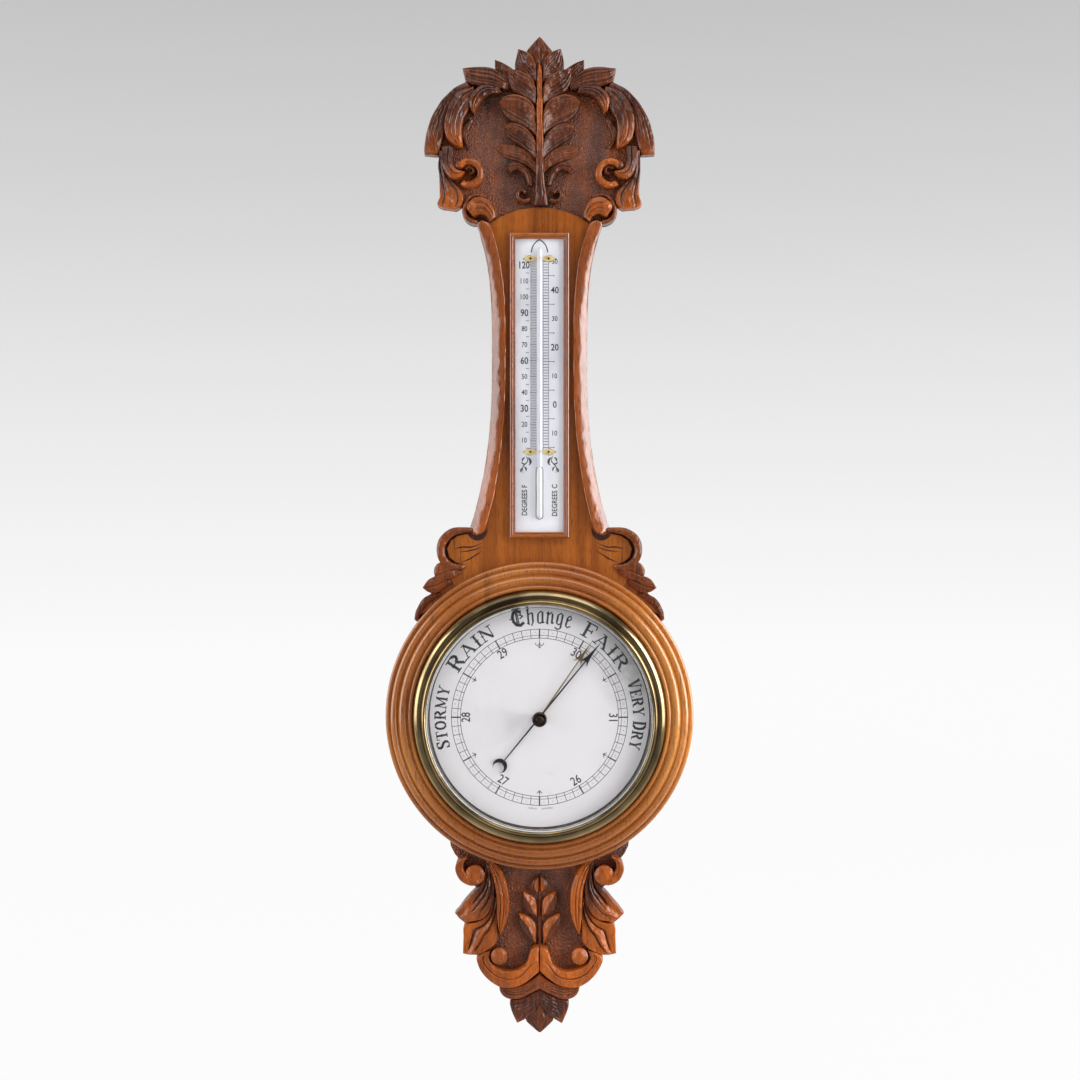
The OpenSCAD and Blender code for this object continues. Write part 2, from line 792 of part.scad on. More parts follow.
module glass_bush() {
  front_d = glass_front + lip_t * 0.3;
  color(BRASS)
    turned()
      polygon([
        [knob_shaft_r + pivot_gap, glass_back],
        [bush_r, glass_back],
        [bush_r, front_d],
        [bush_r + 2, front_d],
        [bush_r + 2, front_d + bush_flange_t],
        [knob_shaft_r + pivot_gap, front_d + bush_flange_t],
      ]);
}

module dial_plate() {
  color(WHITE)
    turned()
      polygon([
        [dial_hole_r, dial_back], [dial_r, dial_back], [dial_r, dial_front], [dial_hole_r, dial_front],
      ]);
}
module dial_pillars() {
  color(BRASS)
    round_dial(casing_screw_at, [0:120:240])
      rod(pillar_r, flange_front, dial_back);
}

// Outline of a hand that points up: a tapering blade with a barbed head
module hand_blade(l) {
  root = 1.5;
  neck = 0.7;
  polygon(half_mirror([
    [0, l],
    [head_w * 0.45, l - head_l * 0.5],
    [head_w, l - head_l],
    [neck, l - head_l * 0.8],
    [root, 0],
  ]));
}
module at_hand(angle) {
  translate([0, 0, dial_z])
    rotate([0, angle, 0])
      children();
}
module indicator_hand() {
  tail_end = crescent_r * 0.7 - tail_l;
  color(BLUED)
    at_hand(hand_angle)
      difference() {
        union() {
          front(hand_d, hand_d + hand_t) {
            hand_blade(hand_l);
            polygon([[-1.5, 0], [1.5, 0], [0.6, tail_end], [-0.6, tail_end]]);
            translate([0, -tail_l])
              difference() {
                circle(crescent_r);
                translate([0, -crescent_r * 0.45])
                  circle(crescent_r * 0.8);
              }
          }
          rod(hub_r, hand_d, hand_d + hub_h);
        }
        rod(arbor_r + pivot_gap / 2, hand_d - 1, hand_d + hub_h + 1);
      }
}
module set_hand() {
  color(BRASS)
    at_hand(set_angle)
      difference() {
        union() {
          front(set_d, set_d + hand_t)
            hand_blade(set_hand_l);
          rod(hub_r + 0.6, set_d, set_d + set_hub_h);
        }
        rod(knob_shaft_r + pivot_gap / 2, set_d + 0.4, set_d + set_hub_h + 1);
      }
}
module set_knob() {
  knob_back = knob_d + lip_t * 0.3;
  color(BRASS)
    turned()
      polygon([
        [0, set_d + 0.5],
        [knob_shaft_r, set_d + 0.5],
        [knob_shaft_r, knob_back],
        [knob_r * 0.7, knob_back],
        [knob_r, knob_back + knob_h * 0.2],
        [knob_r, knob_back + knob_h * 0.7],
        [knob_r * 0.75, knob_back + knob_h * 0.9],
        [knob_r * 0.5, knob_back + knob_h * 0.82],
        [knob_r * 0.3, knob_back + knob_h],
        [0, knob_back + knob_h],
      ]);
}

// Section of a frame strip, from its outer edge inward: two beads over a rebate for the plate
module strip_section() {
  difference() {
    union() {
      translate([0, board_t])
        square([strip_w, strip_h * 0.72]);
      translate([strip_w * 0.32, board_t + strip_h * 0.72])
        circle(strip_h * 0.28);
      translate([strip_w * 0.8, board_t + strip_h * 0.7])
        circle(strip_w * 0.2);
    }
    translate([strip_w - strip_lap, board_t - 1])
      square([strip_lap + 1, plate_t + seat_gap + 1]);
  }
}
// A strip along Z at the right edge of the frame, mitred at both ends
module side_strip(w, h) {
  intersection() {
    translate([w / 2, 0, -h / 2])
      linear_extrude(h)
        rotate(180)
          strip_section();
    front(board_t - 1, board_t + strip_h + 1)
      polygon([
        [w / 2, -h / 2],
        [w / 2, h / 2],
        [w / 2 - strip_w, h / 2 - strip_w],
        [w / 2 - strip_w, strip_w - h / 2],
      ]);
  }
}
module in_frame() {
  color(OAK)
    translate([0, 0, frame_z])
      children();
}
module frame_right() {
  in_frame() side_strip(frame_w, frame_h);
}
module frame_left() {
  in_frame() mirror([1, 0, 0]) side_strip(frame_w, frame_h);
}
module frame_top() {
  in_frame() rotate([0, -90, 0]) side_strip(frame_h, frame_w);
}
module frame_bottom() {
  in_frame() rotate([0, 90, 0]) side_strip(frame_h, frame_w);
}

module thermometer_plate() {
  color(WHITE)
    difference() {
      translate([0, 0, frame_z])
        front(board_t, plate_front)
          square([plate_w, plate_h], center = true);
      for (x = [-1, 1], z = clip_zs)
        translate([x * clip_x, 0, z])
          rod(pin_r + pivot_gap, board_t - 1, plate_front + 1);
    }
}
// Turns an outline of radius and height about the axis of the tube
module on_tube() {
  translate([0, -tube_axis, 0])
    rotate_extrude()
      children();
}
module thermometer_tube() {
  color(GLASS, 0.5)
    on_tube()
      difference() {
        polygon([
          [0, bulb_z],
          [bulb_d * 0.2, bulb_z + 0.5],
          [bulb_d / 2, bulb_z + 3],
          [bulb_d / 2, tube_z - 2.5],
          [tube_d / 2, tube_z],
          [tube_d / 2, tube_top],
          [0, tube_top],
        ]);
        polygon([
          [-1, bulb_z + 1.5],
          [bulb_d / 2 - 0.6, bulb_z + 3.5],
          [bulb_d / 2 - 0.6, tube_z - 3],
          [tube_bore_d / 2, tube_z],
          [tube_bore_d / 2, tube_top + 1],
          [-1, tube_top + 1],
        ]);
      }
}
module thermometer_tip() {
  color(GLASS, 0.5)
    on_tube()
      polygon([
        [0, tube_top],
        [tube_d / 2, tube_top],
        [tube_d * 0.3, tube_top + tip_l * 0.7],
        [0, tube_top + tip_l],
      ]);
}
module mercury() {
  color(STEEL)
    on_tube()
      polygon([
        [0, bulb_z + 1.8],
        [bulb_d / 2 - 0.6 - mercury_gap, bulb_z + 3.7],
        [bulb_d / 2 - 0.6 - mercury_gap, tube_z - 3.1],
        [tube_bore_d / 2 - mercury_gap, tube_z - 0.1],
        [tube_bore_d / 2 - mercury_gap, tube_z + mercury_l],
        [0, tube_z + mercury_l],
      ]);
}
// A clip: a lozenge on each side of the tube and a wire over it
module tube_clip(z) {
  r = (clip_l * clip_l / 4 + clip_h * clip_h / 4) / clip_h;
  arch_at = tube_d / 2 + clip_wire_r + seat_gap;
  color(BRASS)
    translate([0, 0, z])
      difference() {
        union() {
          for (x = [-1, 1]) {
            front(plate_front, plate_front + clip_t)
              translate([x * clip_x, 0])
                intersection() {
                  translate([0, r - clip_h / 2]) circle(r);
                  translate([0, clip_h / 2 - r]) circle(r);
                }
            translate([x * arch_at, 0, 0])
              rod(clip_wire_r, plate_front + clip_t / 2, tube_axis);
          }
          translate([0, -tube_axis, 0])
            rotate([0, 0, 180])
              rotate_extrude(angle = 180)
                translate([arch_at, 0])
                  circle(clip_wire_r);
        }
        for (x = [-1, 1])
          translate([x * clip_x, 0, 0])
            rod(pin_r + pivot_gap, plate_front - 1, plate_front + clip_t + 1);
      }
}
module tube_clip_upper() {
  tube_clip(clip_zs[0]);
}
module tube_clip_lower() {
  tube_clip(clip_zs[1]);
}
module clip_pins() {
  head_h = 0.8;
  color(BRASS)
    for (x = [-1, 1], z = clip_zs)
      translate([x * clip_x, 0, z]) {
        rod(pin_r, board_t - pin_depth, plate_front + clip_t + 0.01);
        rod(pin_r * 1.8, plate_front + clip_t, plate_front + clip_t + head_h);
      }
}

module movement_casing() {
  color(BRASS)
    difference() {
      turned()
        polygon([
          [0, casing_back],
          [casing_r, casing_back],
          [casing_r, board_t],
          [casing_r + casing_flange_w, board_t],
          [casing_r + casing_flange_w, flange_front],
          [casing_in_r, flange_front],
          [casing_in_r, floor_d],
          [0, floor_d],
        ]);
      round_dial(casing_screw_at, [60:120:300])
        rod(screw_r + seat_gap, board_t - 1, flange_front + 1);
      translate([bridge_x, 0, dial_z + knife_z])
        rod(adjust_r + pivot_gap, casing_back - 1, floor_d + 1);
    }
}
module casing_screws() {
  color(STEEL)
    round_dial(casing_screw_at, [60:120:300]) {
      rod(screw_head_r, flange_front, flange_front + screw_head_h);
      rod(screw_r, board_t - wood_screw_l, flange_front + 0.01);
    }
}
module vacuum_capsule() {
  top = floor_d + stem_h + capsule_h;
  ridge = 0.8;
  pitch = (capsule_r - stem_r - 4) / corrugations;
  ripple = [for (i = [0:corrugations - 1], s = [0, 1]) [capsule_r - 2 - pitch * (i + s / 2), s * ridge]];
  nut_d = spring_d + spring_t + nut_gap;
  color(BRASS)
    turned()
      polygon(concat(
        [[0, floor_d], [stem_r, floor_d], [stem_r, floor_d + stem_h + 2 * ridge]],
        [for (i = [len(ripple) - 1:-1:0]) [ripple[i][0], floor_d + stem_h + 2 * ridge - ripple[i][1]]],
        [[capsule_r, floor_d + stem_h + 2 * ridge], [capsule_r, top - 2 * ridge]],
        [for (p = ripple) [p[0], top - 2 * ridge + p[1]]],
        [
          [post_r, top - 2 * ridge],
          [post_r, nut_d],
          [post_r + 2, nut_d],
          [post_r + 2, nut_d + nut_h],
          [0, nut_d + nut_h],
        ]
      ));
}
module spring_bridge() {
  color(STEEL)
    translate([0, 0, dial_z + knife_z])
      difference() {
        union() {
          translate([-bridge_x - leg_w / 2, 0, 0])
            rotate([0, 90, 0])
              linear_extrude(2 * bridge_x + leg_w)
                polygon([
                  [-bridge_w / 2, -floor_d - bridge_h + bridge_t],
                  [bridge_w / 2, -floor_d - bridge_h + bridge_t],
                  [bridge_w / 2, -floor_d - bridge_h + knife_drop],
                  [0, -floor_d - bridge_h],
                  [-bridge_w / 2, -floor_d - bridge_h + knife_drop],
                ]);
          for (x = [-1, 1])
            front(floor_d, floor_d + bridge_h - bridge_t + 0.01)
              translate([x * bridge_x, 0])
                square([leg_w, bridge_w], center = true);
        }
        translate([bridge_x, 0, 0])
          rod(adjust_r + pivot_gap, floor_d - 1, floor_d + adjust_l + 0.5);
      }
}
module main_spring() {
  color(STEEL)
    translate([0, 0, dial_z])
      difference() {
        front(spring_d, spring_d + spring_t)
          translate([-spring_w / 2, knife_z - bridge_w / 2])
            square([spring_w, spring_front - knife_z + bridge_w / 2]);
        rod(post_r + post_gap, spring_d - 1, spring_d + spring_t + 1);
      }
}
module main_lever() {
  color(STEEL)
    translate([0, 0, dial_z])
      front(lever_d, lever_d + lever_t)
        translate([lever_x - lever_w / 2, 0])
          square([lever_w, lever_z + 2]);
}
module lever_link() {
  color(STEEL)
    translate([lever_x - link_t / 2, 0, dial_z + lever_z])
      difference() {
        union() {
          translate([0, -lever_d, -1])
            cube([link_t, lever_d - shaft_d - link_eye_r + 0.4, 2]);
          translate([0, -shaft_d, 0])
            rotate([0, 90, 0])
              cylinder(r = link_eye_r, h = link_t);
        }
        translate([-1, -shaft_d, 0])
          rotate([0, 90, 0])
            cylinder(r = link_pin_r + link_gap, h = link_t + 2);
      }
}
module rocking_shaft() {
  short_x = lever_x - link_t / 2 - 0.4 - arm_t;
  color(STEEL)
    translate([0, -shaft_d, dial_z + shaft_z]) {
      translate([shaft_ends[0], 0, 0])
        rotate([0, 90, 0])
          cylinder(r = shaft_r, h = shaft_ends[1] - shaft_ends[0]);
      translate([short_x, -shaft_r * 0.9, -short_arm_l - 1])
        cube([arm_t, shaft_r * 1.8, short_arm_l + 1]);
      translate([short_x + arm_t - 0.01, 0, -short_arm_l])
        rotate([0, 90, 0])
          cylinder(r = link_pin_r, h = link_t + 1.2);
      translate([chain_x - arm_t / 2, -long_arm_l, -shaft_r * 0.8])
        cube([arm_t, long_arm_l, shaft_r * 1.6]);
    }
}
module shaft_brackets() {
  color(BRASS)
    for (x = bracket_xs)
      difference() {
        translate([x - bracket_t / 2, -shaft_d - 3, dial_z + shaft_z - bracket_w / 2])
          cube([bracket_t, shaft_d + 3 - floor_d, bracket_w]);
        translate([x - bracket_t, -shaft_d, dial_z + shaft_z])
          rotate([0, 90, 0])
            cylinder(r = shaft_r + pivot_gap, h = 2 * bracket_t);
      }
}
module chain() {
  chain_end = shaft_z - shaft_r * 0.8 - seat_gap;
  color(STEEL)
    translate([chain_x, -chain_d, dial_z])
      cylinder(r = chain_r, h = chain_end);
}
module hand_arbor() {
  collet_d = spring_coil_d - 0.4;
  color(STEEL)
    turned()
      polygon([
        [0, plate_d - 0.5],
        [arbor_r, plate_d - 0.5],
        [arbor_r, drum_d - drum_flange_t],
        [drum_flange_r, drum_d - drum_flange_t],
        [drum_flange_r, drum_d],
        [drum_r, drum_d],
        [drum_r, drum_d + drum_h],
        [drum_flange_r, drum_d + drum_h],
        [drum_flange_r, drum_d + drum_h + drum_flange_t],
        [arbor_r, drum_d + drum_h + drum_flange_t],
        [arbor_r, collet_d],
        [collet_r, collet_d],
        [collet_r, collet_d + coil_h + 0.8],
        [arbor_r, collet_d + coil_h + 0.8],
        [arbor_r, arbor_end],
        [0, arbor_end],
      ]);
}
module arbor_plate() {
  reach = 6;
  color(BRASS)
    translate([0, 0, dial_z])
      difference() {
        front(plate_d, plate_d + arbor_plate_t)
          translate([-plate_x - pillar_r - 2, -reach])
            square([2 * (plate_x + pillar_r + 2), reach + plate_pillar_z + pillar_r + 2]);
        rod(arbor_r + pivot_gap, plate_d - 1, plate_d + arbor_plate_t + 1);
      }
}
module plate_pillars() {
  color(BRASS)
    for (x = [-1, 1])
      translate([x * plate_x, 0, dial_z + plate_pillar_z])
        rod(pillar_r, floor_d, plate_d);
}
module arbor_cock() {
  foot = 8;
  tip = 5;
  color(BRASS)
    translate([0, 0, dial_z])
      difference() {
        union() {
          front(plate_d + arbor_plate_t, cock_d + cock_t)
            translate([-cock_x - foot, -cock_w / 2])
              square([foot, cock_w]);
          front(cock_d, cock_d + cock_t)
            translate([-cock_x - 0.01, -cock_w / 2])
              square([cock_x + tip, cock_w]);
        }
        rod(arbor_r + pivot_gap, cock_d - 1, cock_d + cock_t + 1);
      }
}
module hairspring() {
  steps = 20 * hairspring_turns;
  inner = collet_r + 0.2;
  function coil_r(i) = inner + (coil_out_r - hairspring_t - inner) * i / steps;
  function coil_angle(i) = 180 + 360 * hairspring_turns * (i / steps - 1);
  color(STEEL)
    translate([0, 0, dial_z])
      front(spring_coil_d, spring_coil_d + coil_h)
        polygon(concat(
          [for (i = [0:steps]) on_circle(coil_r(i), coil_angle(i))],
          [for (i = [steps:-1:0]) on_circle(coil_r(i) + hairspring_t, coil_angle(i))]
        ));
}
module adjusting_screw() {
  head_d = casing_back - seat_gap - adjust_head_h;
  color(STEEL)
    translate([bridge_x, 0, dial_z + knife_z])
      difference() {
        screw(head_d, adjust_r, adjust_head_r, adjust_head_h, floor_d + adjust_l - casing_back);
        front(head_d - 1, head_d + adjust_head_h * 0.5)
          square([2 * adjust_head_r + 1, slot_w], center = true);
      }
}

module back_cover() {
  color(BRASS)
    difference() {
      translate([0, 0, dial_z])
        rod(cover_r, cover_rebate - cover_t, cover_rebate);
      round_dial(cover_screw_at, [0:90:270]) {
        rod(screw_r + seat_gap, -1, cover_rebate + 1);
        rod(screw_head_r + seat_gap, -1, cover_rebate - cover_t + screw_head_h + head_sink);
      }
      translate([bridge_x, 0, dial_z + knife_z])
        rod(adjust_head_r + 0.5, -1, cover_rebate + 1);
    }
}
module cover_screws() {
  color(STEEL)
    round_dial(cover_screw_at, [0:90:270])
      screw(cover_rebate - cover_t + head_sink, screw_r, screw_head_r, screw_head_h, wood_screw_l);
}
module hanger_plate() {
  color(BRASS)
    difference() {
      front(0, hanger_t)
        square([hanger_w, hanger_h], center = true);
      rod(hanger_hole_r, -1, hanger_t + 1);
      for (x = [-1, 1], z = [-1, 1])
        translate([x * hanger_screw_x, 0, z * hanger_screw_z]) {
          rod(screw_r + seat_gap, -1, hanger_t + 1);
          rod(screw_head_r + seat_gap, -1, screw_head_h + head_sink);
        }
    }
}
module hanger_screws() {
  color(STEEL)
    for (x = [-1, 1], z = [-1, 1])
      translate([x * hanger_screw_x, 0, z * hanger_screw_z])
        screw(head_sink, screw_r, screw_head_r, screw_head_h, wood_screw_l);
}

case_board();
crest_block();
base_block();
shoulder_left();
shoulder_right();
waist_moulding_left();
waist_moulding_right();
dial_ring();
ring_screws();
bezel();
glass();
sight_ring();
glass_bush();
dial_plate();
dial_pillars();
indicator_hand();
set_hand();
set_knob();
frame_left();
frame_right();
frame_top();
frame_bottom();
thermometer_plate();
thermometer_tube();
thermometer_tip();
mercury();
tube_clip_upper();
tube_clip_lower();
clip_pins();
movement_casing();
casing_screws();
vacuum_capsule();
spring_bridge();
main_spring();
main_lever();
lever_link();
rocking_shaft();
shaft_brackets();
chain();
hand_arbor();
arbor_plate();
plate_pillars();
arbor_cock();
hairspring();
adjusting_screw();
back_cover();
cover_screws();
hanger_plate();
hanger_screws();
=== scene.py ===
import math
import random
from collections import namedtuple

import bmesh
import bpy
from bpy.props import FloatProperty, FloatVectorProperty, PointerProperty
from mathutils import Matrix, Vector, noise


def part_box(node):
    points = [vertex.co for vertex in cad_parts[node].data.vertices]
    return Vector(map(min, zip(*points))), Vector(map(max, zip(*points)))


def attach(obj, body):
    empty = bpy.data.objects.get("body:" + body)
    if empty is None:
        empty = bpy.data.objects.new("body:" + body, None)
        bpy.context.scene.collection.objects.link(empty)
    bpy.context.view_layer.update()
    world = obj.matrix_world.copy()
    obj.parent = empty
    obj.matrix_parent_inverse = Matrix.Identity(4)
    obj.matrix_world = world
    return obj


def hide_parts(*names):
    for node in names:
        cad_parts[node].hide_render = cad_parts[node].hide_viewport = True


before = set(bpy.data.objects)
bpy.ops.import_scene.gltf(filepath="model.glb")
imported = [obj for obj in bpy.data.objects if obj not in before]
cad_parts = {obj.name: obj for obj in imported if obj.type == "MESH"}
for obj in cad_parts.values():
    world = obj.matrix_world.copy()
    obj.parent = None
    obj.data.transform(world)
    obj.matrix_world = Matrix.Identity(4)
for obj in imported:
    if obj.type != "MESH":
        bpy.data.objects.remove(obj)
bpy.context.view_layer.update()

bl_info = {
    "name": "Carved Wall Barometer",
    "version": (1, 0, 0),
    "blender": (4, 5, 0),
    "location": "View3D > Sidebar > Barometer",
    "description": "Carving, turned work, print and finishes of a carved oak wall barometer",
    "category": "Add Mesh",
}

# Sizes that the CAD part shares, in millimetres. A depth is measured forward from the wall
MM = 0.001
DIAL_Z = (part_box("dial_plate")[0].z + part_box("dial_plate")[1].z) / 2 / MM
DIAL_FRONT = -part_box("dial_plate")[0].y / MM
PLATE_FRONT = -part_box("thermometer_plate")[0].y / MM
BOARD_FRONT = 28.0
BODY_R = 137.0
BODY_FOOT = DIAL_Z - BODY_R
WAIST_HALF = 43.0
WAIST_Z = -211.0
FOOT_HALF = 59.0
ARCH_R = 77.0
ARCH_TOP = -77.0
TONGUE = 14.3
SEAM = 0.4


def linear(r, g, b):
    """Linear colour of a screen colour given in 0 to 255."""
    return tuple(
        (c / 255 / 12.92) if c <= 10 else ((c / 255 + 0.055) / 1.055) ** 2.4 for c in (r, g, b)
    )


def size_property(name, description, default):
    return FloatProperty(
        name=name, description=description, default=default * MM, unit="LENGTH", precision=4
    )


def colour_property(name, description, default):
    return FloatVectorProperty(
        name=name, description=description, default=linear(*default),
        size=3, min=0, max=1, subtype="COLOR",
    )


class BarometerSizes(bpy.types.PropertyGroup):
    """Sizes of the dressed barometer that a user would change."""

    ground: size_property("Ground", "Depth of the sunk ground of the carving, from the wall", 24.0)
    moulding: size_property("Moulding", "Width of the rounded moulding on the waist", 12.6)
    print_thickness: size_property("Print", "Thickness of the lines on dial and plate", 0.05)
    dial_scale: size_property("Scale radius", "Outer radius of the dial's scale", 78.5)
    figure: size_property("Figures", "Height of the figures on the dial", 8.0)
    word: size_property("Weather words", "Height of the smaller weather words on the dial", 11.0)


class BarometerColours(bpy.types.PropertyGroup):
    """Colours of the dressed barometer that a user would change."""

    oak_light: colour_property("Oak, light", "Light streaks of the polished oak", (196, 112, 38))
    oak: colour_property("Oak", "Body colour of the polished oak", (156, 81, 20))
    oak_dark: colour_property("Oak, dark", "Dark grain of the polished oak", (78, 36, 14))
    ring: colour_property("Ring", "Body colour of the turned ring", (168, 92, 32))
    # The light ring colour is also the painted highlight on the ring's right side
    ring_light: colour_property("Ring, light", "Light streaks of the turned ring", (236, 156, 70))
    leaf: colour_property("Leaf", "Carved leaves", (76, 39, 31))
    # Leaf, worn is also laid on as a painted highlight where the carving is lightest
    leaf_warm: colour_property("Leaf, worn", "Leaves where the polish is worn", (194, 99, 30))
    # Recess is dark grain, and also painted shade in cuts, nicks and on the walls under the leaves
    recess: colour_property("Recess", "Gouge lines and undercut edges", (32, 15, 10))
    field: colour_property("Ground", "Matted ground between the leaves", (116, 67, 48))
    brass: colour_property("Brass", "Lacquered brass", (184, 158, 106))
    brass_dark: colour_property("Brass, aged", "Aged brass in the hollows", (96, 80, 58))
    enamel: colour_property("Dial", "White of the dial", (250, 245, 249))
    plate: colour_property("Plate", "Cool white of the thermometer plate", (246, 247, 254))
    ink: colour_property("Ink", "Print on dial and plate", (38, 40, 48))
    steel: colour_property("Steel", "Bright steel of the movement", (150, 152, 156))
    blued: colour_property("Blued steel", "Blued steel of the pointer", (40, 44, 66))


def sizes():
    return bpy.context.scene.barometer_sizes


def place(x, depth, z):
    """Point in metres from millimetres across, forward of the wall, and up."""
    return Vector((x * MM, -depth * MM, z * MM))


# Finishes


class NodeTree:
    """Short ways to add the nodes of a material or a world and to join them."""

    def __init__(self, tree, coordinates):
        self.tree = tree
        tree.nodes.clear()
        self.coordinates = self.add("TexCoord").outputs[coordinates]

    def put(self, socket, value):
        """Joins a socket to another one or sets its value."""
        if isinstance(value, bpy.types.NodeSocket):
            self.tree.links.new(value, socket)
        elif socket.type == "RGBA":
            socket.default_value = (*tuple(value)[:3], 1)
        else:
            socket.default_value = value

    def add(self, kind, inputs=None, **settings):
        """Adds a node with its settings, and with inputs given by name or by place."""
        node = self.tree.nodes.new(f"ShaderNode{kind}")
        for key, value in settings.items():
            setattr(node, key, value)
        for key, value in (inputs or {}).items():
            self.put(node.inputs[key], value)
        return node

    def mapped(self, stretch):
        return self.add("Mapping", {"Vector": self.coordinates, "Scale": stretch}).outputs[0]

    def noise(self, scale, stretch=(1, 1, 1), detail=4.0, roughness=0.55, distortion=0.0):
        inputs = {
            "Vector": self.mapped(stretch), "Scale": scale, "Detail": detail,
            "Roughness": roughness, "Distortion": distortion,
        }
        return self.add("TexNoise", inputs).outputs["Fac"]

    def cells(self, scale, stretch=(1, 1, 1)):
        inputs = {"Vector": self.mapped(stretch), "Scale": scale}
        return self.add("TexVoronoi", inputs).outputs["Distance"]

    def axes(self):
        return self.add("SeparateXYZ", {0: self.coordinates}).outputs

    def attribute(self, name):
        return self.add("Attribute", attribute_name=name).outputs["Fac"]

    def ramp(self, factor, *stops):
        node = self.add("ValToRGB", {0: factor})
        elements = node.color_ramp.elements
        while len(elements) < len(stops):
            elements.new(0.5)
        for element, (position, colour) in zip(elements, stops):
            element.position = position
            element.color = (*tuple(colour)[:3], 1)
        return node.outputs[0]

    def range(self, value, low, high, to_low=0.0, to_high=1.0):
        """Value carried over from two limits to two others, and held between them."""
        limits = {"From Min": low, "From Max": high, "To Min": to_low, "To Max": to_high}
        return self.add("MapRange", {"Value": value, **limits}).outputs[0]

    def blend(self, factor, a, b):
        return self.add("Mix", {0: factor, 6: a, 7: b}, data_type="RGBA").outputs[2]

    def tint(self, base, colour, value, low, high, most):
        """Base with a colour laid over it, up to its most where a value goes from low to high."""
        return self.blend(self.range(value, low, high, 0.0, most), base, colour)

    def math(self, kind, a, b):
        return self.add("Math", {0: a, 1: b}, operation=kind).outputs[0]

    def mix(self, factor, first, second):
        """A mix of the shaders of two nodes."""
        return self.add("MixShader", {0: factor, 1: first.outputs[0], 2: second.outputs[0]})

    def rays(self):
        """Whether a ray carries a picture, from the camera, off a gloss or through glass, and
        whether it comes off a gloss."""
        path = self.add("LightPath").outputs
        glossy = path["Is Glossy Ray"]
        seen = self.math("MAXIMUM", path["Is Camera Ray"], glossy)
        return self.math("MAXIMUM", seen, path["Is Transmission Ray"]), glossy


class Finish(NodeTree):
    """A material whose patterns read object coordinates or the piece's own attributes."""

    def __init__(self, name):
        self.material = bpy.data.materials.new(name)
        self.material.use_nodes = True
        super().__init__(self.material.node_tree, "Object")
        self.shader = self.add("BsdfPrincipled")
        self.output = self.add("OutputMaterial")
        self.show(self.shader)

    def show(self, node):
        self.put(self.output.inputs["Surface"], node.outputs[0])

    def set(self, **values):
        for key, value in values.items():
            self.put(self.shader.inputs[key.replace("_", " ")], value)
        return self

    def coat(self, weight, roughness, ior):
        return self.set(Coat_Weight=weight, Coat_Roughness=roughness, Coat_IOR=ior)

    def gloss(self, pattern, first, last):
        """Roughness that follows a noise pattern."""
        return self.set(Roughness=self.range(pattern, 0.3, 0.7, first, last))

    def bump(self, height, strength, distance=0.0002):
        inputs = {"Height": height, "Strength": strength, "Distance": distance}
        return self.set(Normal=self.add("Bump", inputs).outputs[0])


def oak_grain(f, along="z"):
    """Bands, lines and pores of oak with the grain along one axis, and a slow colour drift."""
    flow, short = [tuple(s if axis == along else 1.0 for axis in "xyz") for s in (0.045, 0.08)]
    bands = f.noise(70, flow, detail=5, roughness=0.6, distortion=0.6)
    lines = f.noise(420, flow, detail=3, roughness=0.6)
    pores = f.noise(1500, short, detail=2, roughness=0.5)
    return bands, lines, pores, f.noise(9, detail=2)


def polished_oak(f, c, along="z"):
    bands, lines, pores, drift = oak_grain(f, along)
    base = f.ramp(bands, (0.28, c.oak_dark), (0.48, c.oak), (0.74, c.oak_light))
    base = f.tint(base, c.oak, lines, 0.4, 0.66, 0.6)
    base = f.tint(base, c.oak_dark, lines, 0.42, 0.28, 0.75)
    base = f.tint(base, c.oak_dark, pores, 0.44, 0.32, 0.75)
    base = f.tint(base, c.oak_light, drift, 0.38, 0.7, 0.35)
    f.set(Base_Color=base, Specular_IOR_Level=0.12).coat(0.9, 0.2, 1.6)
    f.gloss(pores, 0.44, 0.3).bump(pores, 0.22, 0.0004)


def turned_oak(f, c):
    bands, lines, pores, drift = oak_grain(f)
    across, _, up = f.axes()
    base = f.ramp(drift, (0.36, c.ring), (0.95, c.ring_light))
    # Painted highlight: lighter towards the right side of the ring
    base = f.tint(base, c.ring_light, across, 0.05, 0.13, 0.8)
    # Painted shade: darker towards the bottom of the ring
    base = f.tint(base, c.oak, up, -0.56, -0.66, 0.75)
    base = f.tint(base, c.oak_dark, bands, 0.42, 0.24, 0.45)
    base = f.tint(base, c.oak_dark, lines, 0.42, 0.3, 0.5)
    base = f.tint(base, c.oak_dark, pores, 0.44, 0.32, 0.6)
    f.set(Base_Color=base, Specular_IOR_Level=0.25).coat(1.0, 0.14, 1.75)
    f.gloss(pores, 0.42, 0.26).bump(pores, 0.22, 0.0004)


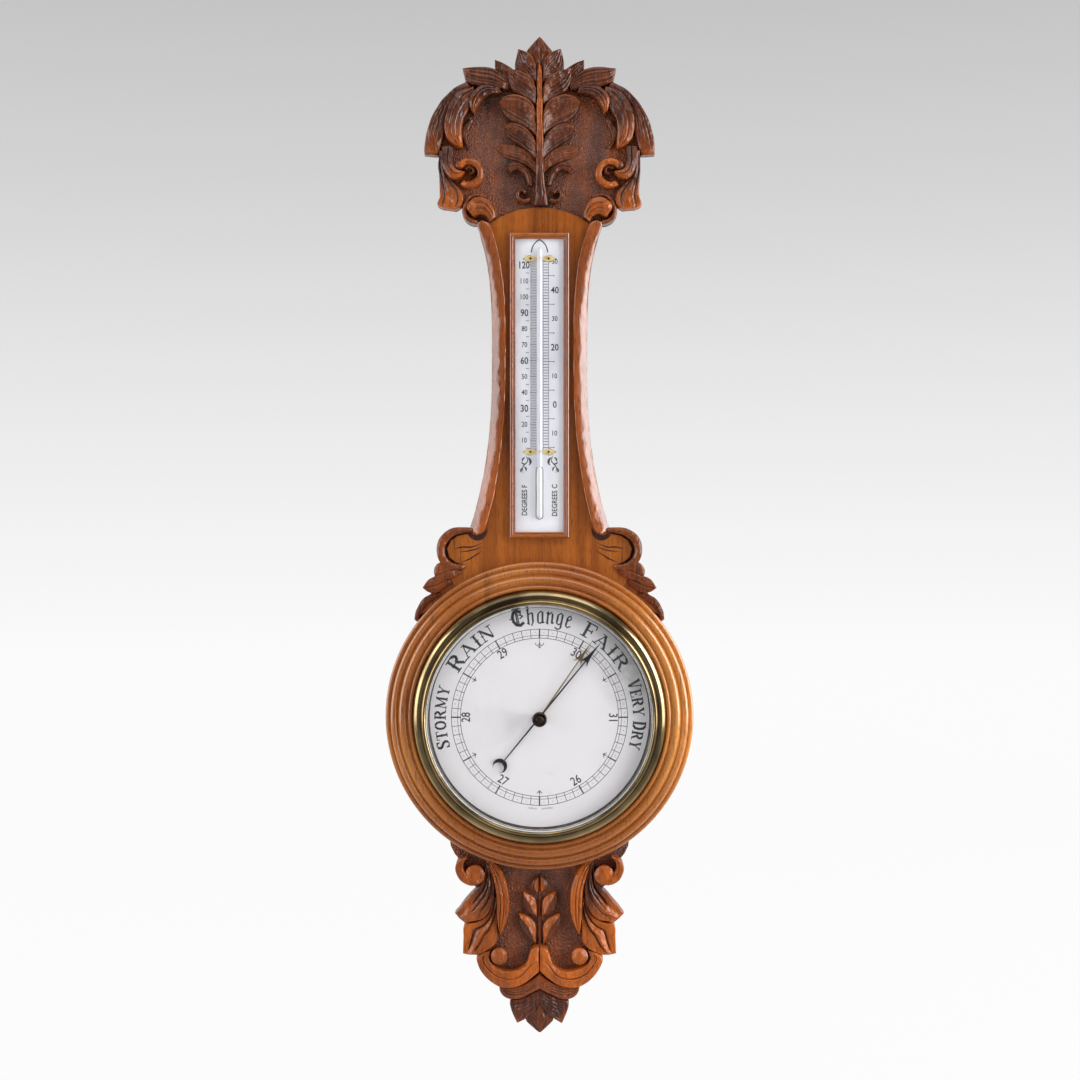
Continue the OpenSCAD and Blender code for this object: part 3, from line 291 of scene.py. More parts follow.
def carved_oak(f, c, tool=0.5, coat=0.0):
    bands, lines, pores, drift = oak_grain(f)
    polish, warmth = f.attribute("polish"), f.attribute("warmth")
    leaf = f.tint(c.leaf, c.recess, bands, 0.4, 0.66, 0.55)
    leaf = f.tint(leaf, c.leaf_warm, lines, 0.42, 0.64, 0.2)
    worn = f.tint(c.leaf_warm, c.leaf, bands, 0.4, 0.7, 0.6)
    warm = f.math("MULTIPLY", warmth, f.range(drift, 0.3, 0.6, 0.7, 1.2))
    # Where lightness is low the leaf turns to the recess colour, painted shade in cuts and on
    # walls; where it is highest the worn colour is added, wear and painted highlight together
    base = f.tint(c.recess, f.blend(warm, leaf, worn), polish, 0.05, 0.5, 1.0)
    base = f.tint(base, c.leaf_warm, polish, 0.82, 1.0, 0.4)
    base = f.tint(base, c.recess, pores, 0.44, 0.32, 0.65)
    dull = f.range(polish, 0.0, 0.45, 0.5, 0.0)
    rough = f.math("ADD", f.range(drift, 0.3, 0.7, 0.15, 0.26), dull)
    f.set(Base_Color=base, Roughness=rough, Specular_IOR_Level=0.5).coat(coat, 0.18, 1.6)
    scoops = f.cells(240, (1, 1, 0.6))
    cuts = f.math("MULTIPLY", f.math("MULTIPLY", scoops, scoops), 1.6)
    grain = f.math("MULTIPLY", f.math("ADD", pores, lines), 0.3)
    f.bump(f.math("ADD", cuts, grain), tool, 0.0011)


def matted_oak(f, c):
    dents = f.cells(620)
    mottle = f.noise(60, (1, 1, 0.35))
    bands = f.noise(240, (1, 1, 0.06), detail=3)
    base = f.ramp(mottle, (0.22, c.recess), (0.46, c.field), (0.82, c.leaf_warm))
    base = f.tint(base, c.field, bands, 0.42, 0.62, 0.55)
    base = f.tint(base, c.recess, dents, 0.3, 0.0, 0.7)
    f.set(Base_Color=base, Specular_IOR_Level=0.6).gloss(mottle, 0.42, 0.24)
    f.bump(f.math("ADD", dents, f.noise(900, detail=2)), 0.9, 0.0015)


def aged_brass(f, c):
    patches = f.noise(18, detail=6, roughness=0.65)
    specks = f.noise(900, detail=3)
    base = f.tint(c.brass, c.brass_dark, patches, 0.36, 0.7, 0.6)
    base = f.tint(base, c.brass_dark, specks, 0.4, 0.3, 0.5)
    f.set(Base_Color=base, Metallic=1.0).gloss(patches, 0.2, 0.42).bump(specks, 0.12)


def bezel_brass(f, c):
    patches = f.noise(16, detail=3)
    specks = f.noise(1100, detail=3)
    base = f.ramp(patches, (0.4, linear(196, 172, 126)), (0.64, linear(108, 92, 68)))
    base = f.tint(base, linear(56, 48, 34), specks, 0.4, 0.3, 0.6)
    f.set(Base_Color=base, Metallic=1.0, Roughness=f.range(patches, 0.35, 0.65, 0.12, 0.22))
    f.bump(specks, 0.08)


def bright_steel(f, c):
    brushed = f.noise(700, (1, 1, 0.05), detail=3)
    base = f.tint(c.steel, c.brass_dark, brushed, 0.3, 0.7, 0.4)
    f.set(Base_Color=base, Metallic=1.0).gloss(brushed, 0.24, 0.4).bump(brushed, 0.08)


def worn(f, scale, first, second, metallic, rough, relief=0.0, stops=(0.35, 0.7), detail=3):
    """Two colours that wear into each other in small clouds, with roughness and bump to match."""
    wear = f.noise(scale, detail=detail)
    base = f.ramp(wear, (stops[0], first), (stops[1], second))
    f.set(Base_Color=base, Metallic=metallic).gloss(wear, *rough)
    if relief:
        f.bump(wear, relief)


def clip_brass(f, c):
    worn(f, 300, linear(250, 234, 178), linear(222, 194, 120), 0.1, (0.25, 0.4), 0.06)


def blued_steel(f, c):
    worn(f, 260, c.blued, linear(70, 58, 62), 0.8, (0.26, 0.4), 0.06)


# Dark bronze of the knob and pins, also used as painted shade under the sight ring
def dark_bronze(f, c):
    light = linear(110, 98, 84)
    worn(f, 420, linear(52, 46, 44), light, 1.0, (0.3, 0.46), 0.1, (0.35, 0.72))


def silvered_rim(f, c):
    tarnish = linear(196, 192, 190)
    worn(f, 120, linear(238, 236, 238), tarnish, 0.3, (0.3, 0.44), stops=(0.35, 0.75))
    f.bump(f.noise(600, detail=2), 0.1)


def quicksilver(f, c):
    worn(f, 300, linear(222, 222, 226), linear(190, 190, 196), 1.0, (0.08, 0.14), detail=2)


def print_ink(f, c):
    worn(f, 700, c.ink, linear(96, 96, 104), 0.0, (0.5, 0.65), stops=(0.4, 0.75))


def enamel_dial(f, c):
    """White enamel with a clouded tone, foxing, and a damp stain beside the last weather word."""
    cloud, fox = f.noise(14, detail=3), f.noise(120)
    base = f.tint(c.enamel, linear(236, 230, 233), cloud, 0.35, 0.7, 0.35)
    stain = place(92.0, DIAL_FRONT, DIAL_Z + 46.0)
    away = f.add("VectorMath", {0: f.coordinates, 1: stain}, operation="DISTANCE").outputs["Value"]
    damp = f.math("MULTIPLY", f.range(away, 0.05, 0.012), f.range(fox, 0.3, 0.62, 0.15, 0.6))
    base = f.blend(damp, base, linear(150, 150, 146))
    base = f.tint(base, linear(168, 160, 152), fox, 0.68, 0.82, 0.35)
    f.set(Base_Color=base, Specular_IOR_Level=0.35).gloss(cloud, 0.3, 0.42)
    f.bump(f.noise(500, detail=2), 0.03)


def enamel_plate(f, c):
    cloud = f.noise(20, (1, 1, 0.5), detail=3)
    base = f.tint(c.plate, linear(180, 184, 190), cloud, 0.35, 0.7, 0.5)
    f.set(Base_Color=base, Specular_IOR_Level=0.5).gloss(cloud, 0.12, 0.2)
    f.bump(f.noise(400, detail=2), 0.03)


def clear_glass(f, c):
    f.set(Base_Color=(0.97, 0.985, 0.98), Transmission_Weight=1.0, Roughness=0.0, IOR=1.46)
    f.bump(f.noise(30, detail=2), 0.02)
    shadow = f.add("LightPath").outputs["Is Shadow Ray"]
    f.show(f.mix(shadow, f.shader, f.add("BsdfTransparent")))


def milk_glass(f, c):
    streak = f.noise(160, (1, 1, 0.02), detail=2)
    body = f.ramp(streak, (0.35, linear(230, 230, 240)), (0.7, linear(216, 217, 228)))
    base = f.blend(f.attribute("polish"), body, linear(228, 229, 231))
    f.set(Base_Color=base, Specular_IOR_Level=0.6).gloss(streak, 0.06, 0.1).bump(streak, 0.02)


def cross_oak(f, c):
    polished_oak(f, c, along="x")


def moulded_oak(f, c):
    carved_oak(f, c, tool=0.28, coat=1.0)


FINISH_MAKERS = {
    maker.__name__: maker
    for maker in (
        polished_oak, cross_oak, turned_oak, carved_oak, moulded_oak, matted_oak,
        aged_brass, bezel_brass, clip_brass, bright_steel, blued_steel, dark_bronze, silvered_rim,
        quicksilver, print_ink, enamel_dial, enamel_plate, clear_glass, milk_glass,
    )
}
FINISHES = {}


def finish(name):
    """The material of the named finish, made once."""
    if name not in FINISHES:
        made = Finish(name)
        FINISH_MAKERS[name](made, bpy.context.scene.barometer_colours)
        FINISHES[name] = made.material
    return FINISHES[name]


def dress(finish_name, *nodes):
    """Gives CAD nodes that stay in view their finish."""
    for name in nodes:
        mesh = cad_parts[name].data
        mesh.materials.clear()
        mesh.materials.append(finish(finish_name))


# Modelling


def new_bmesh():
    bm = bmesh.new()
    bm.verts.layers.float.new("polish")
    bm.verts.layers.float.new("warmth")
    return bm


def in_order(items):
    """Each item once, in an order that is the same in every run, unlike a set's."""
    return list(dict.fromkeys(items))


def layers(bm):
    return bm.verts.layers.float["polish"], bm.verts.layers.float["warmth"]


def add_piece(name, bm, finish_name, slot, nodes=(), body="case", crease=40.0):
    """Makes an object of the mesh, in place, riding on its body."""
    bmesh.ops.recalc_face_normals(bm, faces=bm.faces)
    for face in bm.faces:
        face.smooth = True
    mesh = bpy.data.meshes.new(name)
    bm.to_mesh(mesh)
    bm.free()
    mesh.set_sharp_from_angle(angle=math.radians(crease))
    mesh.materials.append(finish(finish_name))
    piece = bpy.data.objects.new(name, mesh)
    bpy.context.scene.collection.objects.link(piece)
    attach(piece, body)
    if nodes:
        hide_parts(*nodes)


def smooth_step(t):
    t = min(1.0, max(0.0, t))
    return t * t * (3 - 2 * t)


def fade(u, start, stop, ease):
    """Share of a cut that starts and stops softly along a leaf."""
    return smooth_step((u - start) / ease) * smooth_step((stop - u) / ease)


def bell(v, middle, width):
    """Share of the depth of a rounded groove at one spot across it."""
    return math.exp(-(((v - middle) / width) ** 2))


class EdgeCurve:
    """Smooth curve through a few points, read by its share of length."""

    STEPS = 10

    def __init__(self, points):
        knots = [Vector(p) for p in points]
        knots = [2 * knots[0] - knots[1], *knots, 2 * knots[-1] - knots[-2]]
        self.points = []
        for p0, p1, p2, p3 in zip(knots, knots[1:], knots[2:], knots[3:]):
            bend = 2 * p0 - 5 * p1 + 4 * p2 - p3
            twist = 3 * p1 - p0 - 3 * p2 + p3
            for step in range(self.STEPS):
                t = step / self.STEPS
                self.points.append(0.5 * (2 * p1 + (p2 - p0) * t + bend * t * t + twist * t**3))
        self.points.append(knots[-2])
        self.lengths = [0.0]
        for a, b in zip(self.points, self.points[1:]):
            self.lengths.append(self.lengths[-1] + (b - a).length)

    def at(self, share):
        want = share * self.lengths[-1]
        for i in range(1, len(self.points)):
            if want <= self.lengths[i] or i == len(self.points) - 1:
                span = self.lengths[i] - self.lengths[i - 1]
                t = (want - self.lengths[i - 1]) / span if span > 1e-9 else 0.0
                return self.points[i - 1].lerp(self.points[i], min(1.0, max(0.0, t)))


# A carved form between an upper and a lower edge drawn on the ground: its heights at root, middle
# and tip, its crown, its gouge lines from the upper edge at -1 to the lower at 1 and their depth,
# the warmth of its polish, the depth of its back, how far its edge rounds off, its grid, its
# hollow flutes, the form of its crown, how much its upper edge stands higher, the depth of a scoop
# beside its root, the share of its length from which it is warm, and how much darker its lower
# half is, which is painted shade on the lower facet
Leaf = namedtuple(
    "Leaf",
    "upper lower rise crown ribs groove warm back lip fine flutes form tilt scoop ripe twin",
    defaults=(1.4, (), 0.8, 0.3, 20.0, 1.6, (30, 40), 0, "round", 0.0, 0.0, -0.5, 0.0),
)
RIB_WIDTH, RIB_EASE = 0.085, 0.14
NICK_WIDTH, NICK_EASE, NICK_DEPTH, NICKS = 0.05, 0.1, 0.8, 9
NICK_SPANS = ((-0.9, 0.9), (0.12, 0.4), (-0.1, 0.6), (0.25, 0.6))
FLUTE_STOP, FLUTE_EASE = 1.06, 0.2
SCOOP_AT, SCOOP_WIDTH, SCOOP_EASE = 0.3, 0.5, 0.32
SIDE_ROUND, TIP_ROUND = 0.8, 0.94
CHIP_SIZE, CHIP_DEPTH = 0.16, 0.3
WAVER_SIZE, WAVER_WIDTH, WAVER_SEED = 0.09, 0.5, 7
LOWEST = 0.02
# Lightness of the walls under each carved form: painted shade of the undercut
WALL_SHADE = 0.16
# Without a seed the noise of vectors starts from the clock, and each run would carve other edges
noise.seed_set(WAVER_SEED)


def drawn(text):
    """Points of a drawing, written as pairs of millimetres across and up."""
    return [
        tuple(float(word) if "." in word else int(word) for word in pair.split(","))
        for pair in text.split()
    ]


def leaf(upper, lower, *form, **more):
    return Leaf(drawn(upper), drawn(lower), *form, **more)


def crown_share(form, u, v):
    """Share of a leaf's crown at one spot of it."""
    if form == "roof":
        return 1 - abs(v)
    if form == "dome":
        return (1 - v * v) * math.sin(math.pi * u) ** 2
    return 1 - v * v


def tool_marks(shape, side):
    """Gouge lines and stray nicks of a leaf: place across it, depth, start and stop along it."""
    hand = random.Random(f"{shape.upper[0]}{shape.lower[-1]}{side}")
    loose = len(shape.ribs) > 2
    gouges = [
        (
            rib + loose * hand.uniform(-0.06, 0.06),
            hand.uniform(0.55, 1.15) if loose else 1.0,
            hand.uniform(-0.05, 0.2) if loose else -0.02,
            hand.uniform(0.76, 1.0) if loose else 1.0,
        )
        for rib in shape.ribs
    ]
    nicks = []
    for _ in range(NICKS if shape.fine[1] > 24 and shape.lip > 0 else 0):
        across, depth, start, length = [hand.uniform(*span) for span in NICK_SPANS]
        nicks.append((across, depth, start, start + length))
    return gouges, nicks


def carve(bm, shape, side=1, base=None, shift=(0.0, 0.0), tone=1.0):
    """Carves one leaf: a grid is laid between its edges, shaped, and walled down to its back."""
    ground = sizes().ground / MM if base is None else base
    polish, warmth = layers(bm)
    upper, lower = EdgeCurve(shape.upper), EdgeCurve(shape.lower)
    root, middle, tip = shape.rise
    swell = 2 * middle - (root + tip) / 2
    worked = shape.lip > 0
    gouges, nicks = tool_marks(shape, side)
    along, across = shape.fine
    made = bmesh.ops.create_grid(bm, x_segments=along, y_segments=across, size=1.0)["verts"]
    for vert in made:
        u, v = (vert.co.x + 1) / 2, vert.co.y
        p = upper.at(u).lerp(lower.at(u), (v + 1) / 2)
        cut = nick = flute = 0.0
        for rib, depth, start, stop in gouges:
            cut += depth * fade(u, start, stop, RIB_EASE) * bell(v, rib, RIB_WIDTH)
        for rib, depth, start, stop in nicks:
            nick += depth * fade(u, start, stop, NICK_EASE) * bell(v, rib, NICK_WIDTH)
        if shape.flutes:
            wave = abs(math.sin(math.pi * shape.flutes * (v + 1) / 2))
            flute = fade(u, 0.0, FLUTE_STOP, FLUTE_EASE) * wave
        past_side = (abs(v) - SIDE_ROUND) / (1 - SIDE_ROUND)
        edge = min(1.0, max(0.0, past_side, (u - TIP_ROUND) / (1 - TIP_ROUND)))

        height = (1 - u) ** 2 * root + 2 * u * (1 - u) * swell + u * u * tip
        height += shape.crown * crown_share(shape.form, u, v)
        height -= shape.tilt * v * min(1.0, 3 * u)
        height -= shape.groove * (cut + flute) + NICK_DEPTH * nick
        scooped = smooth_step(u / SCOOP_EASE) * (1 - u) * bell(v, SCOOP_AT, SCOOP_WIDTH)
        height -= shape.scoop * scooped
        height -= shape.lip * (1 - math.sqrt(1 - edge**2))
        waver = Vector((0.0, 0.0))
        if worked:
            at = Vector((p.x * CHIP_SIZE * side, p.y * CHIP_SIZE, 3.1 * side))
            height += CHIP_DEPTH * noise.noise(at)
            at = Vector((p.x * WAVER_SIZE * side, p.y * WAVER_SIZE, 7.7 * side))
            waver = noise.noise_vector(at) * WAVER_WIDTH
        vert.co = place(
            side * (p.x + waver.x + shift[0]),
            ground + max(LOWEST, height),
            p.y + waver.y + shift[1],
        )

        # Lightness is higher on the crown, along the upper edge and on a band of the rounded edge,
        # which is wear and painted highlight together; it is lower in gouges, flutes and nicks,
        # which is painted shade
        light_and_shade = 0.55 + 0.3 * (1 - v * v) - 0.1 * shape.tilt * v + 0.3 * (0.3 < edge < 0.85)
        light_and_shade -= 0.55 * min(1.0, cut) + 0.15 * flute + 0.7 * nick
        vert[polish] = tone * min(1.0, max(0.0, light_and_shade))
        warm = min(1.0, shape.warm * smooth_step((u - shape.ripe) / 0.5))
        # The lower half loses its warmth: painted shade on the lower facet
        vert[warmth] = warm * (1 - shape.twin * smooth_step(4 * v + 0.5))
    bmesh.ops.remove_doubles(bm, verts=made, dist=2e-6)
    made = [vert for vert in made if vert.is_valid]
    rim = in_order(edge for vert in made for edge in vert.link_edges if edge.is_boundary)
    walls = bmesh.ops.extrude_edge_only(bm, edges=rim)["geom"]
    # The walls down to the back are darkened as painted shade of the undercut
    for vert in [item for item in walls if isinstance(item, bmesh.types.BMVert)]:
        vert.co.y = -shape.back * MM
        vert[polish] = WALL_SHADE
    edges = [item for item in walls if isinstance(item, bmesh.types.BMEdge)]
    bmesh.ops.edgeloop_fill(bm, edges=[edge for edge in edges if edge.is_boundary])


def both_sides(bm, leaves, **more):
    for shape in leaves:
        for side in (1, -1):
            carve(bm, shape, side, **more)


def arc_points(centre, r, start, stop, count, squash=1.0):
    """Points on an arc in degrees; r is a pair for a spiral, and an ellipse is squashed."""
    r0, r1 = r if isinstance(r, tuple) else (r, r)
    points = []
    for i in range(count + 1):
        t = i / count
        a = math.radians(start + (stop - start) * t)
        reach = r0 + (r1 - r0) * t
        points.append((centre[0] + reach * math.cos(a), centre[1] + reach * squash * math.sin(a)))
    return points


def scroll(centre, outer, inner, start, stop, rise, **more):
    """A band that winds round a centre, as a leaf between its two spiral edges."""
    edges = [arc_points(centre, r, start, stop, 18) for r in (outer, inner)]
    return Leaf(*edges, rise, **{"fine": (54, 18), **more})


def button(centre, r, rise, **more):
    """A round eye of a volute, as a leaf between two half circles."""
    edges = [arc_points(centre, r, -90, stop, 12) for stop in (-270, 90)]
    dome = {"fine": (20, 20), "lip": 0.0, "form": "dome"}
    return Leaf(*edges, (rise, rise, rise), **{**dome, **more})


def flat_outline(bm, points, depth):
    """A face drawn through points at one depth."""
    return bm.faces.new([bm.verts.new(place(x, depth, z)) for x, z in points])


def thicken(bm, faces, forward):
    """Carries faces forward by a thickness, into a closed solid."""
    grown = bmesh.ops.extrude_face_region(bm, geom=faces, use_keep_orig=True)["geom"]
    verts = [item for item in grown if isinstance(item, bmesh.types.BMVert)]
    bmesh.ops.translate(bm, verts=verts, vec=(0, -forward * MM, 0))
    return verts


def mirrored(half):
    return [*half, *[(-x, z) for x, z in reversed(half) if x > 1e-6]]


def cut_notch(bm, faces, notch):
    """Cuts a rectangle out of flat faces and returns the faces that stay."""
    x0, x1, z0, z1 = notch
    across, up = (1, 0, 0), (0, 0, 1)
    for x, z, normal in ((x0, 0, across), (x1, 0, across), (0, z0, up), (0, z1, up)):
        edges = in_order(edge for face in faces for edge in face.edges)
        verts = in_order(vert for face in faces for vert in face.verts)
        cut = bmesh.ops.bisect_plane(
            bm, geom=[*faces, *edges, *verts], dist=1e-7, plane_co=place(x, 0, z), plane_no=normal
        )["geom"]
        faces = [item for item in cut if isinstance(item, bmesh.types.BMFace)]
    centres = [(face, face.calc_center_median() / MM) for face in faces]
    inside = [face for face, c in centres if x0 < c.x < x1 and z0 < c.z < z1]
    faces = [face for face in faces if face not in inside]
    bmesh.ops.delete(bm, geom=inside, context="FACES")
    return faces


def slab(bm, outline, back, front, notch=None, taper=1.0, middle=0.0):
    """A board with an outline, narrower at its back, with a rectangular notch left open there."""
    polish, _ = layers(bm)
    narrow = [(x * taper, middle + (z - middle) * taper) for x, z in outline]
    face = flat_outline(bm, narrow, back)
    for vert in face.verts:
        vert[polish] = 0.5
    faces = cut_notch(bm, [face], notch) if notch else [face]
    for vert in thicken(bm, faces, front - back):
        vert[polish] = 0.5
        if not notch:
            vert.co.x /= taper
            vert.co.z = middle * MM + (vert.co.z - middle * MM) / taper


def spin(bm, points, centre, axis, steps, closed=True):
    """Turns a chain of points about an axis."""
    verts = [bm.verts.new(point) for point in points]
    edges = [bm.edges.new(pair) for pair in zip(verts, verts[1:])]
    if closed:
        edges.append(bm.edges.new((verts[-1], verts[0])))
    bmesh.ops.spin(
        bm, geom=[*verts, *edges], cent=centre, axis=axis,
        angle=math.tau, steps=steps, use_merge=True,
    )
    bmesh.ops.remove_doubles(bm, verts=bm.verts, dist=1e-7)


def turn(bm, profile, steps, closed=True):
    """Turns a profile of radius and depth about the dial's axis."""
    points = [place(r, depth, DIAL_Z) for r, depth in profile]
    spin(bm, points, place(0, 0, DIAL_Z), (0, 1, 0), steps, closed)


def turned_piece(name, profile, steps, *finished, **more):
    bm = new_bmesh()
    turn(bm, profile, steps)
    add_piece(name, bm, *finished, **more)


def fill_ends(bm):
    bmesh.ops.holes_fill(bm, edges=[edge for edge in bm.edges if edge.is_boundary])


def swing(bm, z, angle):
    """Turns a flat piece drawn about the origin by an angle, and lifts it to a height."""
    turned = Matrix.Translation(place(0, 0, z)) @ Matrix.Rotation(math.radians(angle), 4, "Y")
    bmesh.ops.transform(bm, matrix=turned, verts=bm.verts)


class Print:
    """Print on a flat front face: lines, curves and text as thin solids."""

    LETTER_LIFT = 0.02
    FONT_DEPTH = 0.01

    def __init__(self, depth):
        self.bm = new_bmesh()
        self.depth = depth
        self.thick = sizes().print_thickness / MM

    def line(self, start, stop, width):
        a, b = Vector(start), Vector(stop)
        way, middle = b - a, (a + b) / 2
        size = Matrix.Diagonal((way.length * MM, self.thick * MM, width * MM, 1))
        turned = Matrix.Rotation(-math.atan2(way.y, way.x), 4, "Y")
        at = Matrix.Translation(place(middle.x, self.depth + self.thick / 2, middle.y))
        bmesh.ops.create_cube(self.bm, size=1.0, matrix=at @ turned @ size)

    def curve(self, points, count, width, swell=0.0):
        """A line through points, in a number of steps, that may swell towards its middle."""
        path = EdgeCurve(points)
        for i in range(count):
            pen = width + swell * math.sin(math.pi * (i + 0.5) / count)
            self.line(path.at(i / count), path.at((i + 1) / count), pen)

    def circle(self, r, width):
        low, high = r - width / 2, r + width / 2
        back, front = self.depth, self.depth + self.thick
        turn(self.bm, [(low, back), (high, back), (high, front), (low, front)], 180)

    def text(self, words, height, at, angle=0.0, weight=0.0, stretch=1.0):
        """Upright text of a height, centred on a spot, turned clockwise by an angle."""
        curve = bpy.data.curves.new("lettering", "FONT")
        curve.body = words
        curve.resolution_u = 3
        curve.offset = weight
        curve.extrude = self.FONT_DEPTH
        holder = bpy.data.objects.new("lettering", curve)
        bpy.context.scene.collection.objects.link(holder)
        bpy.context.view_layer.update()
        solid = holder.evaluated_get(bpy.context.evaluated_depsgraph_get())
        mesh = bpy.data.meshes.new_from_object(solid)
        bpy.data.objects.remove(holder)
        bpy.data.curves.remove(curve)
        xs, ys = [v.co.x for v in mesh.vertices], [v.co.y for v in mesh.vertices]
        scale = height * MM / (max(ys) - min(ys))
        thin = sizes().print_thickness / (2 * self.FONT_DEPTH)
        centre = Vector(((max(xs) + min(xs)) / 2, (max(ys) + min(ys)) / 2, 0))
        fit = Matrix.Diagonal((scale * stretch, scale, thin, 1)) @ Matrix.Translation(-centre)
        upright = Matrix.Rotation(math.radians(90), 4, "X")
        turned = Matrix.Rotation(math.radians(angle), 4, "Y")
        spot = Matrix.Translation(place(at[0], self.depth + self.LETTER_LIFT, at[1]))
        mesh.transform(spot @ turned @ upright @ fit)
        self.bm.from_mesh(mesh)
        bpy.data.meshes.remove(mesh)

    def finish(self, name, slot):
        add_piece(name, self.bm, "print_ink", slot, crease=30.0)


def dial_point(r, angle):
    """Spot on the dial at a radius, by degrees clockwise from the top."""
    a = math.radians(angle)
    return (r * math.sin(a), DIAL_Z + r * math.cos(a))


# Flare of the waist towards its ends: how far out, over which length, to which power
HEAD_FLARE = (11.5, 111.0, 3.3)
FOOT_FLARE = (16.0, 143.0, 2.6)


def moulding_edge(z):
    """Outer edge of the rounded moulding, which flares on past the waist at its foot."""
    out, length, power = HEAD_FLARE if z > WAIST_Z else FOOT_FLARE
    half = WAIST_HALF + out * (abs(z - WAIST_Z) / length) ** power
    return min(FOOT_HALF, half) if z > WAIST_Z else half


def arch(x):
    """Lower edge of the crest over the waist."""
    return ARCH_TOP - ARCH_R + math.sqrt(ARCH_R * ARCH_R - x * x)


def body_arc(r, x):
    """Lower edge of a circle about the dial axis, measured from the foot of the round body."""
    return BODY_R - math.sqrt(r * r - x * x)


# Letters of the weather words in hundredths of their height: the width of a letter, then its
# strokes, each a pen and the points it joins
PENS = {"F": 0.26, "H": 0.115, "B": 0.17, "T": 0.1}
LETTERS = {
    "A": "84 H 12,0 40,100 F 40,98 70,2 H 22,36 60,36 H 0,0 25,0 H 54,0 86,0 H 24,100 48,100",
    "D": "78 F 17,0 17,100 H 0,100 44,100 H 0,0 44,0 F 42,96 60,82 66,50 60,18 42,4 H 6,50 28,50",
    "E": "64 F 17,0 17,100 H 0,100 56,100 58,78 H 0,0 58,0 60,24 H 17,50 44,50 H 44,38 44,62",
    "F": "62 F 17,0 17,100 H 0,100 56,100 58,76 H 0,0 36,0 H 17,50 44,50 H 44,36 44,64",
    "I": "36 F 18,0 18,100 H 0,0 36,0 H 0,100 36,100 H 5,50 31,50",
    "M": "98 H 13,0 15,100 F 15,98 48,10 H 48,10 80,100 F 81,100 83,0 H 0,0 27,0 H 66,0 99,0 "
         "H 2,100 20,100 H 78,100 96,100",
    "N": "82 H 14,0 14,100 F 14,98 66,2 H 67,0 67,100 H 0,0 28,0 H 0,100 20,100 H 53,100 82,100 "
         "H 5,50 22,50",
    "O": "76 F 30,97 14,80 9,50 14,20 30,3 F 46,97 62,80 67,50 62,20 46,3 H 28,99 48,99 H 28,1 "
         "48,1",
    "R": "80 F 17,0 17,100 H 0,0 34,0 H 0,100 48,100 F 46,97 60,86 62,74 56,60 44,53 H 17,50 "
         "46,50 F 42,50 64,6 H 58,1 84,1 H 5,50 20,50",
    "S": "64 H 54,82 46,97 30,100 16,94 F 16,92 10,76 18,62 32,52 46,42 54,26 48,10 H 48,6 32,0 "
         "16,4 8,20 H 55,72 55,100 H 7,0 7,28",
    "T": "72 F 36,0 36,100 H 2,78 4,100 68,100 70,78 H 18,0 54,0 H 24,50 48,50",
    "V": "78 F 13,100 38,2 H 40,0 65,100 H 0,100 28,100 H 52,100 80,100",
    "Y": "78 F 13,100 38,48 H 65,100 40,48 F 39,50 39,0 H 0,100 28,100 H 52,100 80,100 H 22,0 "
         "56,0",
    "C": "86 F 60,86 42,100 20,90 10,62 12,32 26,8 50,0 70,12 H 62,66 66,98 H 34,92 32,12 "
         "H 42,86 42,10 H -10,52 12,48 H 50,70 74,56 54,44",
    "h": "56 B 12,0 12,98 H 2,90 20,102 H 12,60 40,74 B 42,70 42,10 H 42,10 30,-14 H 2,6 20,-4",
    "a": "56 B 12,10 12,60 B 42,2 42,76 H 12,62 30,80 42,72 H 12,8 26,0 42,14 H 42,4 54,10",
    "n": "56 B 12,2 12,74 B 42,4 42,70 H 2,66 16,80 H 14,60 38,78 H 42,4 54,12 H 4,8 20,-2",
    "g": "56 B 12,14 12,64 B 42,-16 42,74 H 12,66 28,80 42,72 H 12,12 26,4 42,18 H 42,-18 24,-28 "
         "6,-18",
    "e": "48 B 12,10 12,64 H 12,64 26,80 T 26,80 38,60 H 38,58 14,42 H 12,8 26,0 42,12",
}


def letter_strokes(name):
    """Width of a letter, and its strokes as pairs of a pen and points, for a height of 1."""
    width, *words = LETTERS[name].split()
    strokes = []
    for word in words:
        if word in PENS:
            strokes.append((PENS[word], []))
        else:
            strokes[-1][1].append(tuple(int(share) / 100 for share in word.split(",")))
    return int(width) / 100, strokes


